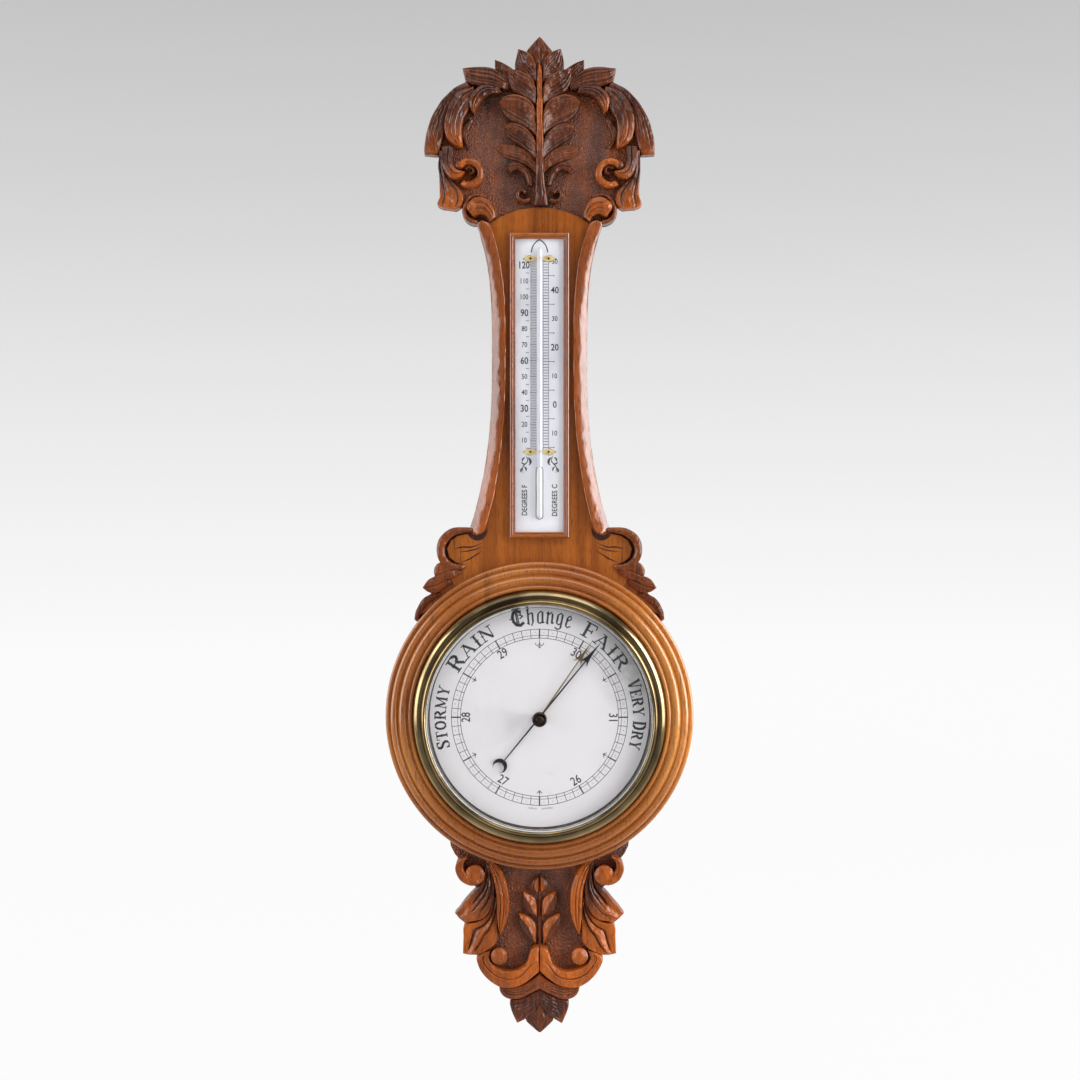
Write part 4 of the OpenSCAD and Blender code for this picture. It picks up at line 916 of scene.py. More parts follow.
# The crest, drawn on its right half from the hanging hole
FAN = (-0.62, -0.3, 0.02, 0.34, 0.66)
SPRAY = (
    leaf("18,41 23,48 32,53.5 40.5,56.5", "24,31 34,36.5 40,46 40.5,56.5",
         (3, 5, 5), 1.0, FAN, 0.8, 0.1, 18.0),
    leaf("3,46 4.6,54.5 10.5,61.6 19.5,65", "3,35 13,39.5 22,48.6 19.5,65",
         (9, 9, 8), 1.2, FAN, 0.9, 0.1, 18.0, tilt=1.4, scoop=4.5),
    leaf("3.5,-34 10,-26 22,-20 34,-19 39.5,-22.5", "4,-46 10,-40 20,-34.5 31,-31 39.5,-22.5",
         (3.4, 2.2, 0.6), 0.7, FAN, 0.6, 0.25, tilt=0.5),
    leaf("3.5,-17 8,-10.5 17,-3.6 26,-1.8 31.5,-6", "3.5,-34 10,-26.5 20,-19.5 28.5,-13.5 31.5,-6",
         (9.5, 8, 6), 1.6, FAN, 0.8, 0.08, tilt=2.0, scoop=5.0),
    leaf("3.5,8 6,15 12,20.5 22,23.7 32,21.5 36.5,16.5",
         "3.5,-13.5 9,-8 20,-2 30,4.5 35,11 36.5,16.5",
         (10, 9, 6.5), 1.8, FAN, 0.9, 0.15, tilt=2.2, scoop=5.6),
    leaf("3.5,30 5.5,36 10,41 19,45.2 29,47", "3.5,14 13,21.5 24,28 28.4,38 29,47",
         (10, 9.5, 8), 1.8, FAN, 0.95, 0.12, tilt=2.0, scoop=5.2),
    leaf("6.5,-58 8,-48 13.5,-40.5 20.5,-37 27,-38.2 29.5,-42",
         "10.5,-57 13.5,-48.5 19,-43.6 23.5,-44 26.5,-46 29.5,-42",
         (6, 6.5, 6), 1.6, (-0.2,), 0.8, 0.1),
)
SIDE_LEAVES = (
    leaf("28,38 40,47 53,49.3 69.6,48", "28,29 42,31 55,32 66,36.5 69.6,48",
         (4, 8.5, 7), 1.4, (-0.55, -0.15, 0.25, 0.62), 0.9, 0.1, 18.0),
    leaf("66,36.5 80,28 93,13 101,-5 104.3,-21 104.2,-29", "62,30 74,23 83,8 86,-8 89.5,-22 92,-30",
         (6, 7.5, 4.5), 1.8, (-0.45, 0.0, 0.45), 0.9, 0.3, 21.0, ripe=0.5),
    leaf("64,4 69.5,-5 70,-13 64.3,-24", "60,2 63.5,-6 65.5,-14 64.3,-24",
         (3, 4, 3), 0.8, (), 0.6, 0.1),
    leaf("60,32 75,25.5 83,11 86,-3 84,-14.5 76.5,-21.5 69.4,-23.8",
         "58,22 64,10 68.5,2 70,-7 69.8,-15 69.4,-23.8",
         (8, 10, 7), 1.8, (-0.3, 0.35), 0.8, 0.8, ripe=0.4),
    leaf("38,32.5 53,31.5 62.5,22 62.5,12 59,6.5", "34,26 46,23.5 53,17.5 57,12 59,6.5",
         (7, 11, 9), 1.6, (-0.2, 0.35), 0.9, 0.6, ripe=0.4),
    leaf("91,-26 91.6,-39.3 91,-49.4 90.4,-59.5 90.4,-67.7 92.4,-74.7 87,-78",
         "84.4,-27 84.4,-39.3 83.7,-44.4 80.6,-51.3 76.8,-55.7 71.1,-62.7 68.8,-69.6 70.5,-75.5 "
         "75.5,-79.2",
         (5, 6, 6.5), 1.4, (-0.55, 0.55), 0.8, 0.85, 21.0, flutes=2, ripe=0.4),
    leaf("88.5,-22 88.4,-36 85.4,-46 79,-52 71.5,-50.6 67.4,-46",
         "77.5,-22 78.4,-36 76.8,-42 73.5,-44.3 70.5,-45 67.4,-46",
         (5, 9, 10), 1.6, (0.05,), 1.2, 0.8, ripe=0.35),
    scroll((63.5, -46.9), (13.6, 12.8), (7.8, 7.0), 38, 312, (8.5, 9.5, 5.5),
           warm=0.85, crown=1.8, ribs=(0.35,), groove=0.5),
    button((72.4, -39.6), 3.6, 8.8, warm=0.3, crown=1.8),
    scroll((62.6, -44.4), (6.2, 3.4), (2.6, 0.4), 20, 300, (6, 6, 5),
           warm=0.15, crown=1.2, ribs=(), groove=0.5),
    leaf("47,-65.6 56,-64.3 63.5,-66.3 67.7,-72.3 70.2,-79 69.9,-83.7 66.4,-89 61,-92 56.2,-92.4",
         "49,-68.6 56.5,-67 61.5,-69.3 65,-74.5 66.2,-79.5 65.8,-83 63.3,-86.6 60,-88.4 "
         "56.2,-88.8",
         (3, 6.5, 6), 1.2, (), 0.8, 0.3, 18.0, 1.8, (54, 16)),
    leaf("39.4,-85.6 41.4,-77.6 47,-70 55,-67.8 62,-71.5 64.6,-79.5",
         "45.6,-90.6 47.4,-86.4 51,-84 55.3,-83.8 60.4,-85.8 64.6,-79.5",
         (6, 9, 8), 1.6, (-0.25, 0.35), 0.9, 0.7, 19.0, 2.0),
    button((60.0, -77.0), 5.8, 7.6, warm=0.9, crown=3.6),
    scroll((15.2, -65.4), (9, 3.4), (5.2, 0.6), 215, 520, (6, 7, 7.5), warm=0.15, crown=1.2),
)
STEM = leaf(
    "-4.4,-75.5 -3.4,-50 -2.7,0 -2.2,40 -0.5,53", "8,-75.5 4.4,-50 3,0 2.3,40 0.5,53",
    (7, 11, 8.5), 1.4, (0.4,), 0.6, 1.0, 16.0, 1.0, (60, 16), ripe=0.25)
TOP_LEAF = leaf(
    "-2.5,43 -8.5,51 -11.8,61.5 -6,70.5 0,77", "2.5,43 8.5,51 12.4,61 6.2,70.2 0,77",
    (5, 8, 7), 1.0, (-0.55, -0.25, 0.0, 0.3, 0.55), 0.7, 0.1, 18.0)
CREST_GROUND = drawn(
    "0,60 9,55 18,49 30,47 42,43 62,43 66,33 79,25 90,9 97,-12 98,-25 88,-29 88,-70 74,-74 "
    "67.5,-80 66.5,-85 61,-90 56.5,-91"
) + [(x, arch(x) + SEAM) for x in (51, 43, 36, 28, 20, 10, 0)]

# The base, drawn on its right half from the foot of the round body
BASE_LEAVES = (
    leaf("0,-111 9,-116 19,-120 26.4,-121.5 25.8,-129 20.2,-142",
         "0,-123.5 5,-130.5 11.5,-137 20.2,-142",
         (6.5, 7.5, 5), 1.0, (-0.55, -0.2, 0.15, 0.5), 0.9, 0.5, 20.0, ripe=0.55),
    leaf("0,-96 9,-103 20,-107.5 36.6,-106",
         "0,-110.5 9,-115 18,-119 26.4,-119.8 32.4,-117 35.8,-112 36.6,-106",
         (8, 8.5, 6), 1.2, (-0.5, -0.1, 0.3), 0.9, 0.3, 20.0),
    leaf("41,-26 46,-42 57,-50.5 67.8,-53 69,-64.5 69.4,-78.8",
         "36,-34 38.2,-50 38,-62 40,-70 48,-76.6 57.4,-80.4",
         (5.5, 8.5, 7), 1.6, (-0.35, 0.2), 2.2, 1.0, 20.0, 2.0, flutes=2, ripe=0.05),
    leaf("48.6,3 50.4,-9 55,-18.4 63.5,-26.6 76.6,-42.6",
         "45,0 40.8,-18 42.6,-34 51,-46.4 67.2,-51.2",
         (4, 9.5, 7), 1.8, (-0.4, 0.0, 0.4), 2.2, 0.75, 20.0, 2.0, flutes=2, ripe=0.35),
    leaf("46,6.5 37.5,0.6 31.6,-10 27.8,-24 27.6,-38 30.4,-50 35.4,-61.5",
         "49,4 43.4,-7 40,-18.6 38.6,-30 38.4,-42 37.6,-53 35.4,-61.5",
         (2.5, 10, 8), 1.2, (-0.15, 0.4), 1.1, 0.95, 15.0, 2.4),
    leaf("50,-77.5 57,-81.5 55.2,-90 48.2,-99.8 36.7,-107.8 25,-108.8 13.8,-104.8 0.3,-94",
         "44,-76 45.4,-84 39,-90.6 28.7,-93.9 18.4,-92 12.4,-87.6 10.0,-81.4 8.4,-76.4 5.6,-72.8 "
         "0.3,-71.6",
         (7, 10, 10.5), 1.4, (0.0,), 1.2, 0.95, 20.0, 1.6, (56, 30)),
    button((36.4, -80.8), 7.4, 8.2, warm=1.0, crown=2.8, back=15.0),
    leaf("65,9.8 73.4,6.4 76,-2.5 72,-11.6 63.4,-16.4 54.5,-15.6",
         "66.4,7.4 68.8,3 68.2,-3 64,-8 59,-10 55,-10",
         (9, 9.5, 10), 1.2, (), 0.8, 0.8, 20.0, 1.4, (40, 18)),
    button((58.4, -7.4), 8.8, 8.4, warm=1.0, crown=3.0, back=15.0),
)
# Sprig leaves are roofed, and their lower facet is painted darker as shade
SPRIG_LEAVES = tuple(
    leaf(upper, lower, (3, 4, 3.5), crown, (), 0.6, 1.0, lip=0.7, form="roof", twin=0.9)
    for upper, lower, crown in (
        ("2.4,-43.6 2.6,-36 4.5,-29.6 9.5,-25.6 15,-23",
         "3,-46.5 9,-43.5 14,-37.5 16.2,-30.5 15,-23", 2.6),
        ("3.2,-68 3.4,-56 6,-50 11.4,-45.6 18.8,-43",
         "3.6,-71.5 9.4,-65.6 14.4,-59 18.8,-51 18.8,-43", 2.6),
        ("0.6,-23 0.9,-17 1.0,-12 0.5,-7.6", "4,-24.4 7.6,-20.5 6.4,-14 0.5,-7.6", 2.2),
    )
)
BASE_STEM = leaf(
    "-1.8,-78 -1.5,-60 -1.3,-40 -1.0,-22", "1.8,-78 1.5,-60 1.3,-40 1.0,-22",
    (3, 1.8, 1.0), 0.6, (), 0.6, 0.1, 16.0, 0.6, (30, 10))
BASE_TIP = leaf(
    "-1.5,-120 -7,-131 -12.6,-138.6 -6,-146 0,-150.6",
    "1.5,-120 7,-131 12.6,-138.6 6,-146 0,-150.6",
    (4, 6, 4.5), 1.0, (-0.5, 0.0, 0.5), 0.6, 0.08, 20.0)
BASE_GROUND = [(x, body_arc(BODY_R + SEAM, x)) for x in (0, 15, 30, 45, 60, 72, 82)] + drawn(
    "80.5,17 77,10 72,4 70,-9 57,-21 60,-36 64,-50 64,-76 52,-84 45,-96 35,-105 28,-114 23,-120 "
    "22,-130 17,-137 10,-136 6,-142 0,-146"
)

# A shoulder, drawn on the right from the hanging hole
SHOULDER_LEAVES = (
    leaf("90,-424 104.6,-430.4 111.8,-441 113.5,-450", "88,-428 101.2,-437 108,-446 110.8,-452",
         (2, 3, 2), 0.8, (), 0.6, 0.2, 12.0),
    leaf("84,-407 95,-410.6 101.4,-414.4 106.2,-421.6",
         "79,-417.6 90,-424.8 100,-425.4 106.2,-421.6",
         (4, 6, 4), 1.4, (0.1,), 0.9, 0.35, 16.0),
    leaf("82,-399 90,-398.5 95,-403 95.8,-408", "70,-408 79,-413 87.5,-414.6 93.6,-413",
         (5, 7, 5), 1.4, (0.1,), 0.9, 0.4, 16.0),
    leaf("60.5,-367 66,-366.6 73.3,-366.4 78.6,-367.2 83.4,-369.4 87.4,-372.6 90.6,-377 "
         "92.4,-382 92.9,-387.6 91.8,-394 89.2,-399 85,-403 79.6,-405.6 73.6,-406.2 67.5,-404.4",
         "60.5,-371.6 66,-371.4 70.8,-372.2 75,-373.2 78.6,-375.2 82,-378.2 84.4,-381.8 "
         "85.6,-386.4 85,-391.6 83,-395.2 79.6,-398 75.6,-399.4 72,-400 69,-400.2 66.4,-400",
         (5, 8.5, 4.6), 1.8, (), 0.8, 0.35, 16.0, 2.0, (54, 18)),
)
SHOULDER_GROUND = drawn(
    "59.4,-366 74,-368.5 85,-372 90,-380 90,-390 86,-398 92,-404 91,-411 101,-420 95,-425 "
    "105,-434 111,-446 110,-451.8 100,-442 90,-432.2 80,-424.4 70,-417.7 59.4,-411.8"
)
SHOULDER_FLAT = drawn(
    "59.02,-358 61.5,-364 65,-372.4 74,-374.4 80,-378.4 83.6,-385.8 81.6,-393.4 "
    "76,-398 70,-400 70,-405 76,-409 80,-414 76,-421 66,-415.2 59.02,-411.9"
)
SHOULDER_WEB = drawn(
    "74,-408 84,-412 93,-419 99,-427 105,-437 108.6,-446 100,-440.2 90,-430.7 80,-422.9 72,-417.6"
)
# Flat dark strips laid on the board: painted shade of three incised lines and of the scoop under
# the moulding's foot
SHOULDER_CUT_SHADE = tuple(
    leaf(upper, lower, (0.04, 0.04, 0.04), 0.0, (), 0.0, 0.0, BOARD_FRONT, 0.0, (24, 4))
    for upper, lower in (
        ("78,-386.6 70,-383.7 61,-383.6 50.5,-380", "78,-386.6 70,-385 61,-384.9 50.5,-380"),
        ("74,-389 64.5,-387.4 57,-385.6 51,-383.8", "74,-389 64.5,-388.5 57,-386.6 51,-383.8"),
        ("72,-398.6 64,-394.8 57,-390.6 51,-387.4", "72,-398.6 64,-396.2 57,-391.9 51,-387.4"),
        ("66,-370 63,-371 57,-373.6 50,-370.6 46.5,-366",
         "66,-370 63,-375.6 56,-378.6 49,-375 46.5,-366"),
    )
)


# Turned work, as profiles of radius and depth
RING_SEAT = 43.5
RING = [
    (106.1, BOARD_FRONT), (138.5, BOARD_FRONT), (138.5, 34.6),
    *arc_points((136.0, 35.6), 2.5, 0, 130, 11), (133.7, 37.3),
    *arc_points((130.3, 40.6), 3.1, -8, 150, 13), (126.9, 41.8),
    *arc_points((122.2, 42.2), 3.9, 18, 162, 10, 3.8 / 3.9), (118.0, 43.2),
    *arc_points((115.6, RING_SEAT), 1.9, 20, 180, 11), (106.1, RING_SEAT),
]
BEZEL = [
    *drawn("103.1,40 105.9,40 105.9,43.5 113.7,43.5 113.7,44.6 113.2,45.4 113,46.2"),
    *arc_points((106.2, 46.4), 6.6, 8, 90, 10, 5.6 / 6.6), (105.8, 51.2), (105.2, 51.3),
    *arc_points((102.6, 53.2), 2.3, -10, 122, 11, 3.7 / 2.3),
    *drawn("100.6,56 100.5,55 103.1,55"),
]
SIGHT_RING = drawn("99.3,45 102.7,45 102.7,52 101.4,52 100.8,51.5 100.2,51 99.6,50.4 99.3,49.8")
MILLED_FROM, MILLED_TO, MILLED_DEPTH = 99.5, 101.0, 0.5
# A dark ring on the dial's edge with a wall up to the sight ring: its dark colour is painted shade
# of the gap under the sight ring
SIGHT_SHADED_WALL = [
    (97.8, DIAL_FRONT + 0.02), (99.28, DIAL_FRONT + 0.02), (99.28, 49.6), (98.5, 47.6),
]
GLASS = drawn("2.65,52 102.9,52 102.9,55 99.9,55 98.7,55.6 2.65,55.6")
KNOB = [
    *drawn("0.01,50.6 1.5,50.6 1.5,56.7 4.4,56.7 5.6,57.2"),
    *arc_points((5.5, 59.4), 1.0, -60, 40, 6), (6.5, 61.8),
    *arc_points((5.6, 62.4), 0.9, 0, 110, 6), *drawn("4.6,63 3.7,62.6 3.4,63.6"),
    *arc_points((2.4, 63.8), 0.9, 20, 90, 4), (0.01, 64.7),
]

# Right halves of the hands, drawn upright
HAND_THICK, HAND_EASE = 0.6, 0.14
POINTER = [
    *drawn("0,87 0.7,78 1.5,70 3,64.5 4.6,60.6 2.2,63.4 0.55,65 0.75,6 2.6,2.4 3,0"),
    *drawn("2.6,-2.4 0.75,-6 0.5,-49.8"),
    *arc_points((0, -55.6), 6.5, 78, -60, 12), *arc_points((0, -58), 5.0, -14, 90, 10),
]
SETTER = drawn(
    "0,84 0.5,76 1.2,68 2.6,63 4.2,58.6 1.8,61.6 0.45,62.6 0.7,6 2.8,2.4 3.2,0 2.6,-2.6 0,-3.2"
)

# The bead round the thermometer, as steps in from its outer edge and depths
BEAD = [
    (0.0, 28.02), *arc_points((1.9, 32.2), 1.9, 180, 20, 10), (3.7, 32.2),
    *arc_points((4.5, 32.6), 0.9, 170, -20, 8), *drawn("5.3,31.4 5.4,30.4 4.2,30.3 4.2,28.02"),
]

# Print beside the thermometer's tube, on its right: an arch over it, a dark line round its bulb
# that is painted shade of a groove round it, and the strokes of a flourish with the swell of their
# pen
TUBE_ARCH = "7.4,-118 7,-115.6 6.2,-113 5,-110.8 3.2,-108.8 1.4,-107.4 0,-106.6"
BULB_SHADE_LINE = "0.2,-0.5 1.6,-0.1 2.7,1.1 3.1,3 3.1,20 3.1,43.4 2.6,45.4 1.8,46.8"
FLOURISH = (
    (0.7, "14.6,-317.6 15.4,-312.6 12.8,-309.2 10.6,-306.4 12.2,-301.8"),
    (1.9, "11,-303.2 8.6,-305.4 8.2,-308.6 9.6,-310.6"),
    (1.3, "13,-303.2 15,-304.6 15.6,-307.2"),
    (1.2, "12.8,-309.4 15,-309 16.4,-307.6"),
    (1.6, "15.3,-313 16.8,-314.6 16.6,-317"),
    (1.3, "14,-311.6 12.2,-313.4 12.2,-316"),
)

SIDES = ((1, "right"), (-1, "left"))


def on_side(points, side, lift=0.0):
    """Points drawn on the right, carried to one side and lifted."""
    return [(side * x, lift + z) for x, z in points]


def add_ground(name, outline, notch, taper, middle):
    """Adds the matted ground of a carved block, notched at its back for the board's tongue."""
    bm = new_bmesh()
    slab(bm, outline, TONGUE, sizes().ground / MM, taper=taper, middle=middle)
    slab(bm, outline, 0.0, TONGUE, notch, taper, middle)
    add_piece(name, bm, "matted_oak", "oak_carved")


# Operators


class Step:
    """What all operators here share."""

    bl_options = {"REGISTER", "UNDO"}


class BAROMETER_OT_board(Step, bpy.types.Operator):
    """Polish the oak backboard"""

    bl_idname = "barometer.board"
    bl_label = "Oak Backboard"

    def execute(self, context):
        dress("polished_oak", "case_board")
        return {"FINISHED"}


class BAROMETER_OT_crest(Step, bpy.types.Operator):
    """Carve the crest: a leaf spray between drooping side leaves over a matted ground"""

    bl_idname = "barometer.crest"
    bl_label = "Carved Crest"

    def execute(self, context):
        bm = new_bmesh()
        carve(bm, TOP_LEAF)
        both_sides(bm, SPRAY)
        carve(bm, STEM)
        both_sides(bm, SIDE_LEAVES)
        add_piece("crest_carving", bm, "carved_oak", "oak_carved", ("crest_block",))
        notch = (-40 - SEAM, 40 + SEAM, -130, 34 + SEAM)
        add_ground("crest_ground", mirrored(CREST_GROUND), notch, taper=0.93, middle=-30.0)
        return {"FINISHED"}


class BAROMETER_OT_base(Step, bpy.types.Operator):
    """Carve the base: acanthus leaves and scrolls round a sprig"""

    bl_idname = "barometer.base"
    bl_label = "Carved Base"

    def execute(self, context):
        bm = new_bmesh()
        drop = (0.0, BODY_FOOT)
        carve(bm, BASE_TIP, shift=drop)
        carve(bm, BASE_STEM, shift=drop)
        both_sides(bm, BASE_LEAVES, shift=drop)
        both_sides(bm, SPRIG_LEAVES, shift=drop)
        add_piece("base_carving", bm, "carved_oak", "oak_carved", ("base_block",))
        outline = on_side(mirrored(BASE_GROUND), 1, BODY_FOOT)
        notch = (-30 - SEAM, 30 + SEAM, BODY_FOOT - 82 - SEAM, BODY_FOOT + 60)
        add_ground("base_ground", outline, notch, taper=0.92, middle=BODY_FOOT - 50)
        return {"FINISHED"}


class BAROMETER_OT_shoulders(Step, bpy.types.Operator):
    """Carve the two shoulder scrolls where the waist meets the round body"""

    bl_idname = "barometer.shoulders"
    bl_label = "Shoulder Scrolls"

    GROUND, FLAT_BACK, WEB = 22.0, 20.0, 26.4

    def execute(self, context):
        for side, name in SIDES:
            bm = new_bmesh()
            for shape in SHOULDER_LEAVES:
                carve(bm, shape, side)
            slab(bm, on_side(SHOULDER_GROUND, side), 0.0, self.GROUND)
            nodes = (f"shoulder_{name}",)
            add_piece(f"shoulder_carving_{name}", bm, "carved_oak", "oak_carved", nodes)
            bm = new_bmesh()
            slab(bm, on_side(SHOULDER_FLAT, side), self.FLAT_BACK, BOARD_FRONT)
            slab(bm, on_side(SHOULDER_WEB, side), self.FLAT_BACK, self.WEB)
            add_piece(f"shoulder_flat_{name}", bm, "polished_oak", "oak_panel", crease=30.0)
            bm = new_bmesh()
            # The strips are darkened by tone, as painted shade
            for shape in SHOULDER_CUT_SHADE:
                carve(bm, shape, side, base=BOARD_FRONT, tone=0.3)
            add_piece(f"shoulder_cut_shade_{name}", bm, "carved_oak", "oak_panel")
        return {"FINISHED"}


class BAROMETER_OT_mouldings(Step, bpy.types.Operator):
    """Shape the rounded mouldings on the edges of the waist"""

    bl_idname = "barometer.mouldings"
    bl_label = "Waist Mouldings"

    TOP, FOOT, COUNT = -94.0, -367.0, 18
    HEAD, END = (52.0, -89.8), (57.0, -372.6)

    def execute(self, context):
        outer, inner = [self.HEAD, (56.2, -90.8)], [self.HEAD, (47.4, -90.8)]
        for i in range(self.COUNT + 1):
            z = self.TOP + (self.FOOT - self.TOP) * i / self.COUNT
            widening = 1.6 * smooth_step((-300 - z) / 60)
            outer.append((moulding_edge(z) - 0.1, z))
            inner.append((moulding_edge(z) - sizes().moulding / MM - widening, z))
        outer += [(62.4, -371.2), self.END]
        inner += [(51.6, -371.2), self.END]
        band = Leaf(
            outer, inner, (2.9, 2.9, 2.9), 1.4, (), 0.0, 0.55,
            BOARD_FRONT + 0.03, 0.9, (130, 24), tilt=-2.8,
        )
        for side, name in SIDES:
            bm = new_bmesh()
            carve(bm, band, side, base=BOARD_FRONT)
            nodes = (f"waist_moulding_{name}",)
            add_piece(f"waist_band_{name}", bm, "moulded_oak", "oak_panel", nodes)
        return {"FINISHED"}


class BAROMETER_OT_ring(Step, bpy.types.Operator):
    """Turn the oak ring round the dial"""

    bl_idname = "barometer.ring"
    bl_label = "Oak Ring"

    def execute(self, context):
        turned_piece("turned_ring", RING, 220, "turned_oak", "oak_panel", ("dial_ring",))
        return {"FINISHED"}


class BAROMETER_OT_bezel(Step, bpy.types.Operator):
    """Spin the brass bezel, its milled rim and the bevelled glass"""

    bl_idname = "barometer.bezel"
    bl_label = "Brass Bezel and Glass"

    def execute(self, context):
        turned_piece("brass_bezel", BEZEL, 220, "bezel_brass", "brass", ("bezel",))
        bm = new_bmesh()
        turn(bm, SIGHT_RING, 360)
        for vert in bm.verts:
            across, up = vert.co.x, vert.co.z - DIAL_Z * MM
            odd = round(math.degrees(math.atan2(across, up))) % 2
            if odd and MILLED_FROM < math.hypot(across, up) / MM < MILLED_TO:
                vert.co.y += MILLED_DEPTH * MM
        add_piece("silvered_sight_ring", bm, "silvered_rim", "silvered", ("sight_ring",))
        # Dark ring and wall under the sight ring, painted shade
        turned_piece("sight_shaded_wall", SIGHT_SHADED_WALL, 240, "dark_bronze", "silvered")
        # The crease keeps the bevel sharp, so that it doesn't bend the light of the flat glass
        turned_piece(
            "bevelled_glass", GLASS, 160, "clear_glass", "glass", ("glass",), crease=15.0
        )
        dress("aged_brass", "glass_bush")
        return {"FINISHED"}


class BAROMETER_OT_dial(Step, bpy.types.Operator):
    """Print the dial: scale, figures, weather words and ornaments"""

    bl_idname = "barometer.dial"
    bl_label = "Printed Dial"

    TICKS, HEAVY_EVERY = 60, 5
    BAND, INNER_BAND = 8.0, 5.5
    FIGURES = (("28", 270), ("29", 330), ("30", 30), ("31", 90), ("26", 150), ("27", 210))
    FIGURE_R, FOOT_FIGURE_R = 65.8, 64.6
    # Each weather word with its middle and sweep in degrees, the radius of its foot, and its height
    WORDS = (
        ("STORMY", 270, 37, 83.8, 11.0), ("RAIN", 315.5, 34, 82.4, 13.0),
        ("Change", 1.4, 36, 83.6, 13.6), ("FAIR", 43.4, 35, 82.4, 13.0),
        ("VERY DRY", 88.6, 41, 83.8, 11.0),
    )
    SMALL_WORD, SPACE, WORD_R, SMALL_CAPITAL = 11.0, 0.34, 88, 0.86
    FOOT_WORDS = (("ANEROID", 184.4), ("BAROMETER", 175.0))
    FOOT_WORD_R = 81.4

    def execute(self, context):
        dress("enamel_dial", "dial_plate")
        ink = Print(DIAL_FRONT)
        outer = sizes().dial_scale / MM
        inner, middle = outer - self.BAND, outer - self.INNER_BAND
        for r, width in ((outer, 0.5), (middle, 0.4), (inner, 0.5)):
            ink.circle(r, width)
        for tick in range(self.TICKS):
            angle = 360.0 / self.TICKS * tick
            over, width = (0.0, 0.5) if tick % self.HEAVY_EVERY else (0.4, 1.2)
            ink.line(dial_point(inner - over, angle), dial_point(outer + over, angle), width)
            x, z = dial_point((outer + middle) / 2, angle + 3)
            ink.line((x - 0.3, z), (x + 0.3, z), 0.6)
        for angle in range(0, 360, 60):
            self.ornament(ink, inner, angle, 0.6 if angle else 1.0)
        for text, angle in self.FIGURES:
            foot = 120 < angle < 240
            at = dial_point(self.FOOT_FIGURE_R if foot else self.FIGURE_R, angle)
            ink.text(text, sizes().figure / MM, at, angle + 180 * foot, 0.012, 0.82)
        for word in self.WORDS:
            self.word(ink, *word)
        for text, angle in self.FOOT_WORDS:
            ink.text(text, 1.35, dial_point(self.FOOT_WORD_R, angle), angle + 180, stretch=0.9)
        ink.finish("dial_print", "dial_white")
        return {"FINISHED"}

    def word(self, ink, word, middle, sweep, radius, high):
        high *= sizes().word / self.SMALL_WORD / MM
        widths = [self.SPACE if name == " " else letter_strokes(name)[0] for name in word]
        run = 0.0
        for i, name in enumerate(word):
            angle = middle - sweep / 2 + sweep * (run + widths[i] / 2) / sum(widths)
            run += widths[i]
            if name == " ":
                continue
            first = i == 0 or word[i - 1] == " "
            height = high if first or name.islower() else high * self.SMALL_CAPITAL
            span = math.radians(sweep) * self.WORD_R * widths[i] / sum(widths)
            self.letter(ink, name, angle, radius, height, span * (0.94 if first else 0.88))

    def letter(self, ink, name, angle, radius, height, span):
        """One letter, with its foot on a radius and its strokes overlapping at bends."""
        width, strokes = letter_strokes(name)
        cosine, sine = math.cos(math.radians(angle)), math.sin(math.radians(angle))
        right, up = Vector((cosine, -sine)), Vector((sine, cosine))
        foot = Vector((0.0, DIAL_Z)) + radius * up
        for pen, points in strokes:
            spots = [foot + (x / width - 0.5) * span * right + y * height * up for x, y in points]
            overlap = pen * height * 0.2 if len(spots) > 2 else 0.0
            for a, b in zip(spots, spots[1:]):
                ease = (b - a).normalized() * overlap
                ink.line(a - ease, b + ease, pen * height * 0.74)

    def ornament(self, ink, inner, angle, scale):
        """An anchor with curled arms and a barbed tip inside the scale."""
        tip = inner - 9.0 * scale
        ink.line(dial_point(tip, angle), dial_point(inner - 1.0, angle), 0.5)
        for side in (-1, 1):
            arm = []
            for i in range(8):
                a = math.radians(200 * i / 7 - 10)
                across = side * (1.9 - 1.7 * math.cos(a)) * scale
                r = inner - (4.4 + 2.2 * math.sin(a)) * scale
                arm.append(dial_point(r, angle + math.degrees(across / r)))
            for pair in zip(arm, arm[1:]):
                ink.line(*pair, 0.55)
            barb = angle + side * math.degrees(1.6 * scale / tip)
            ink.line(dial_point(tip, angle), dial_point(tip + 2.6 * scale, barb), 0.5)


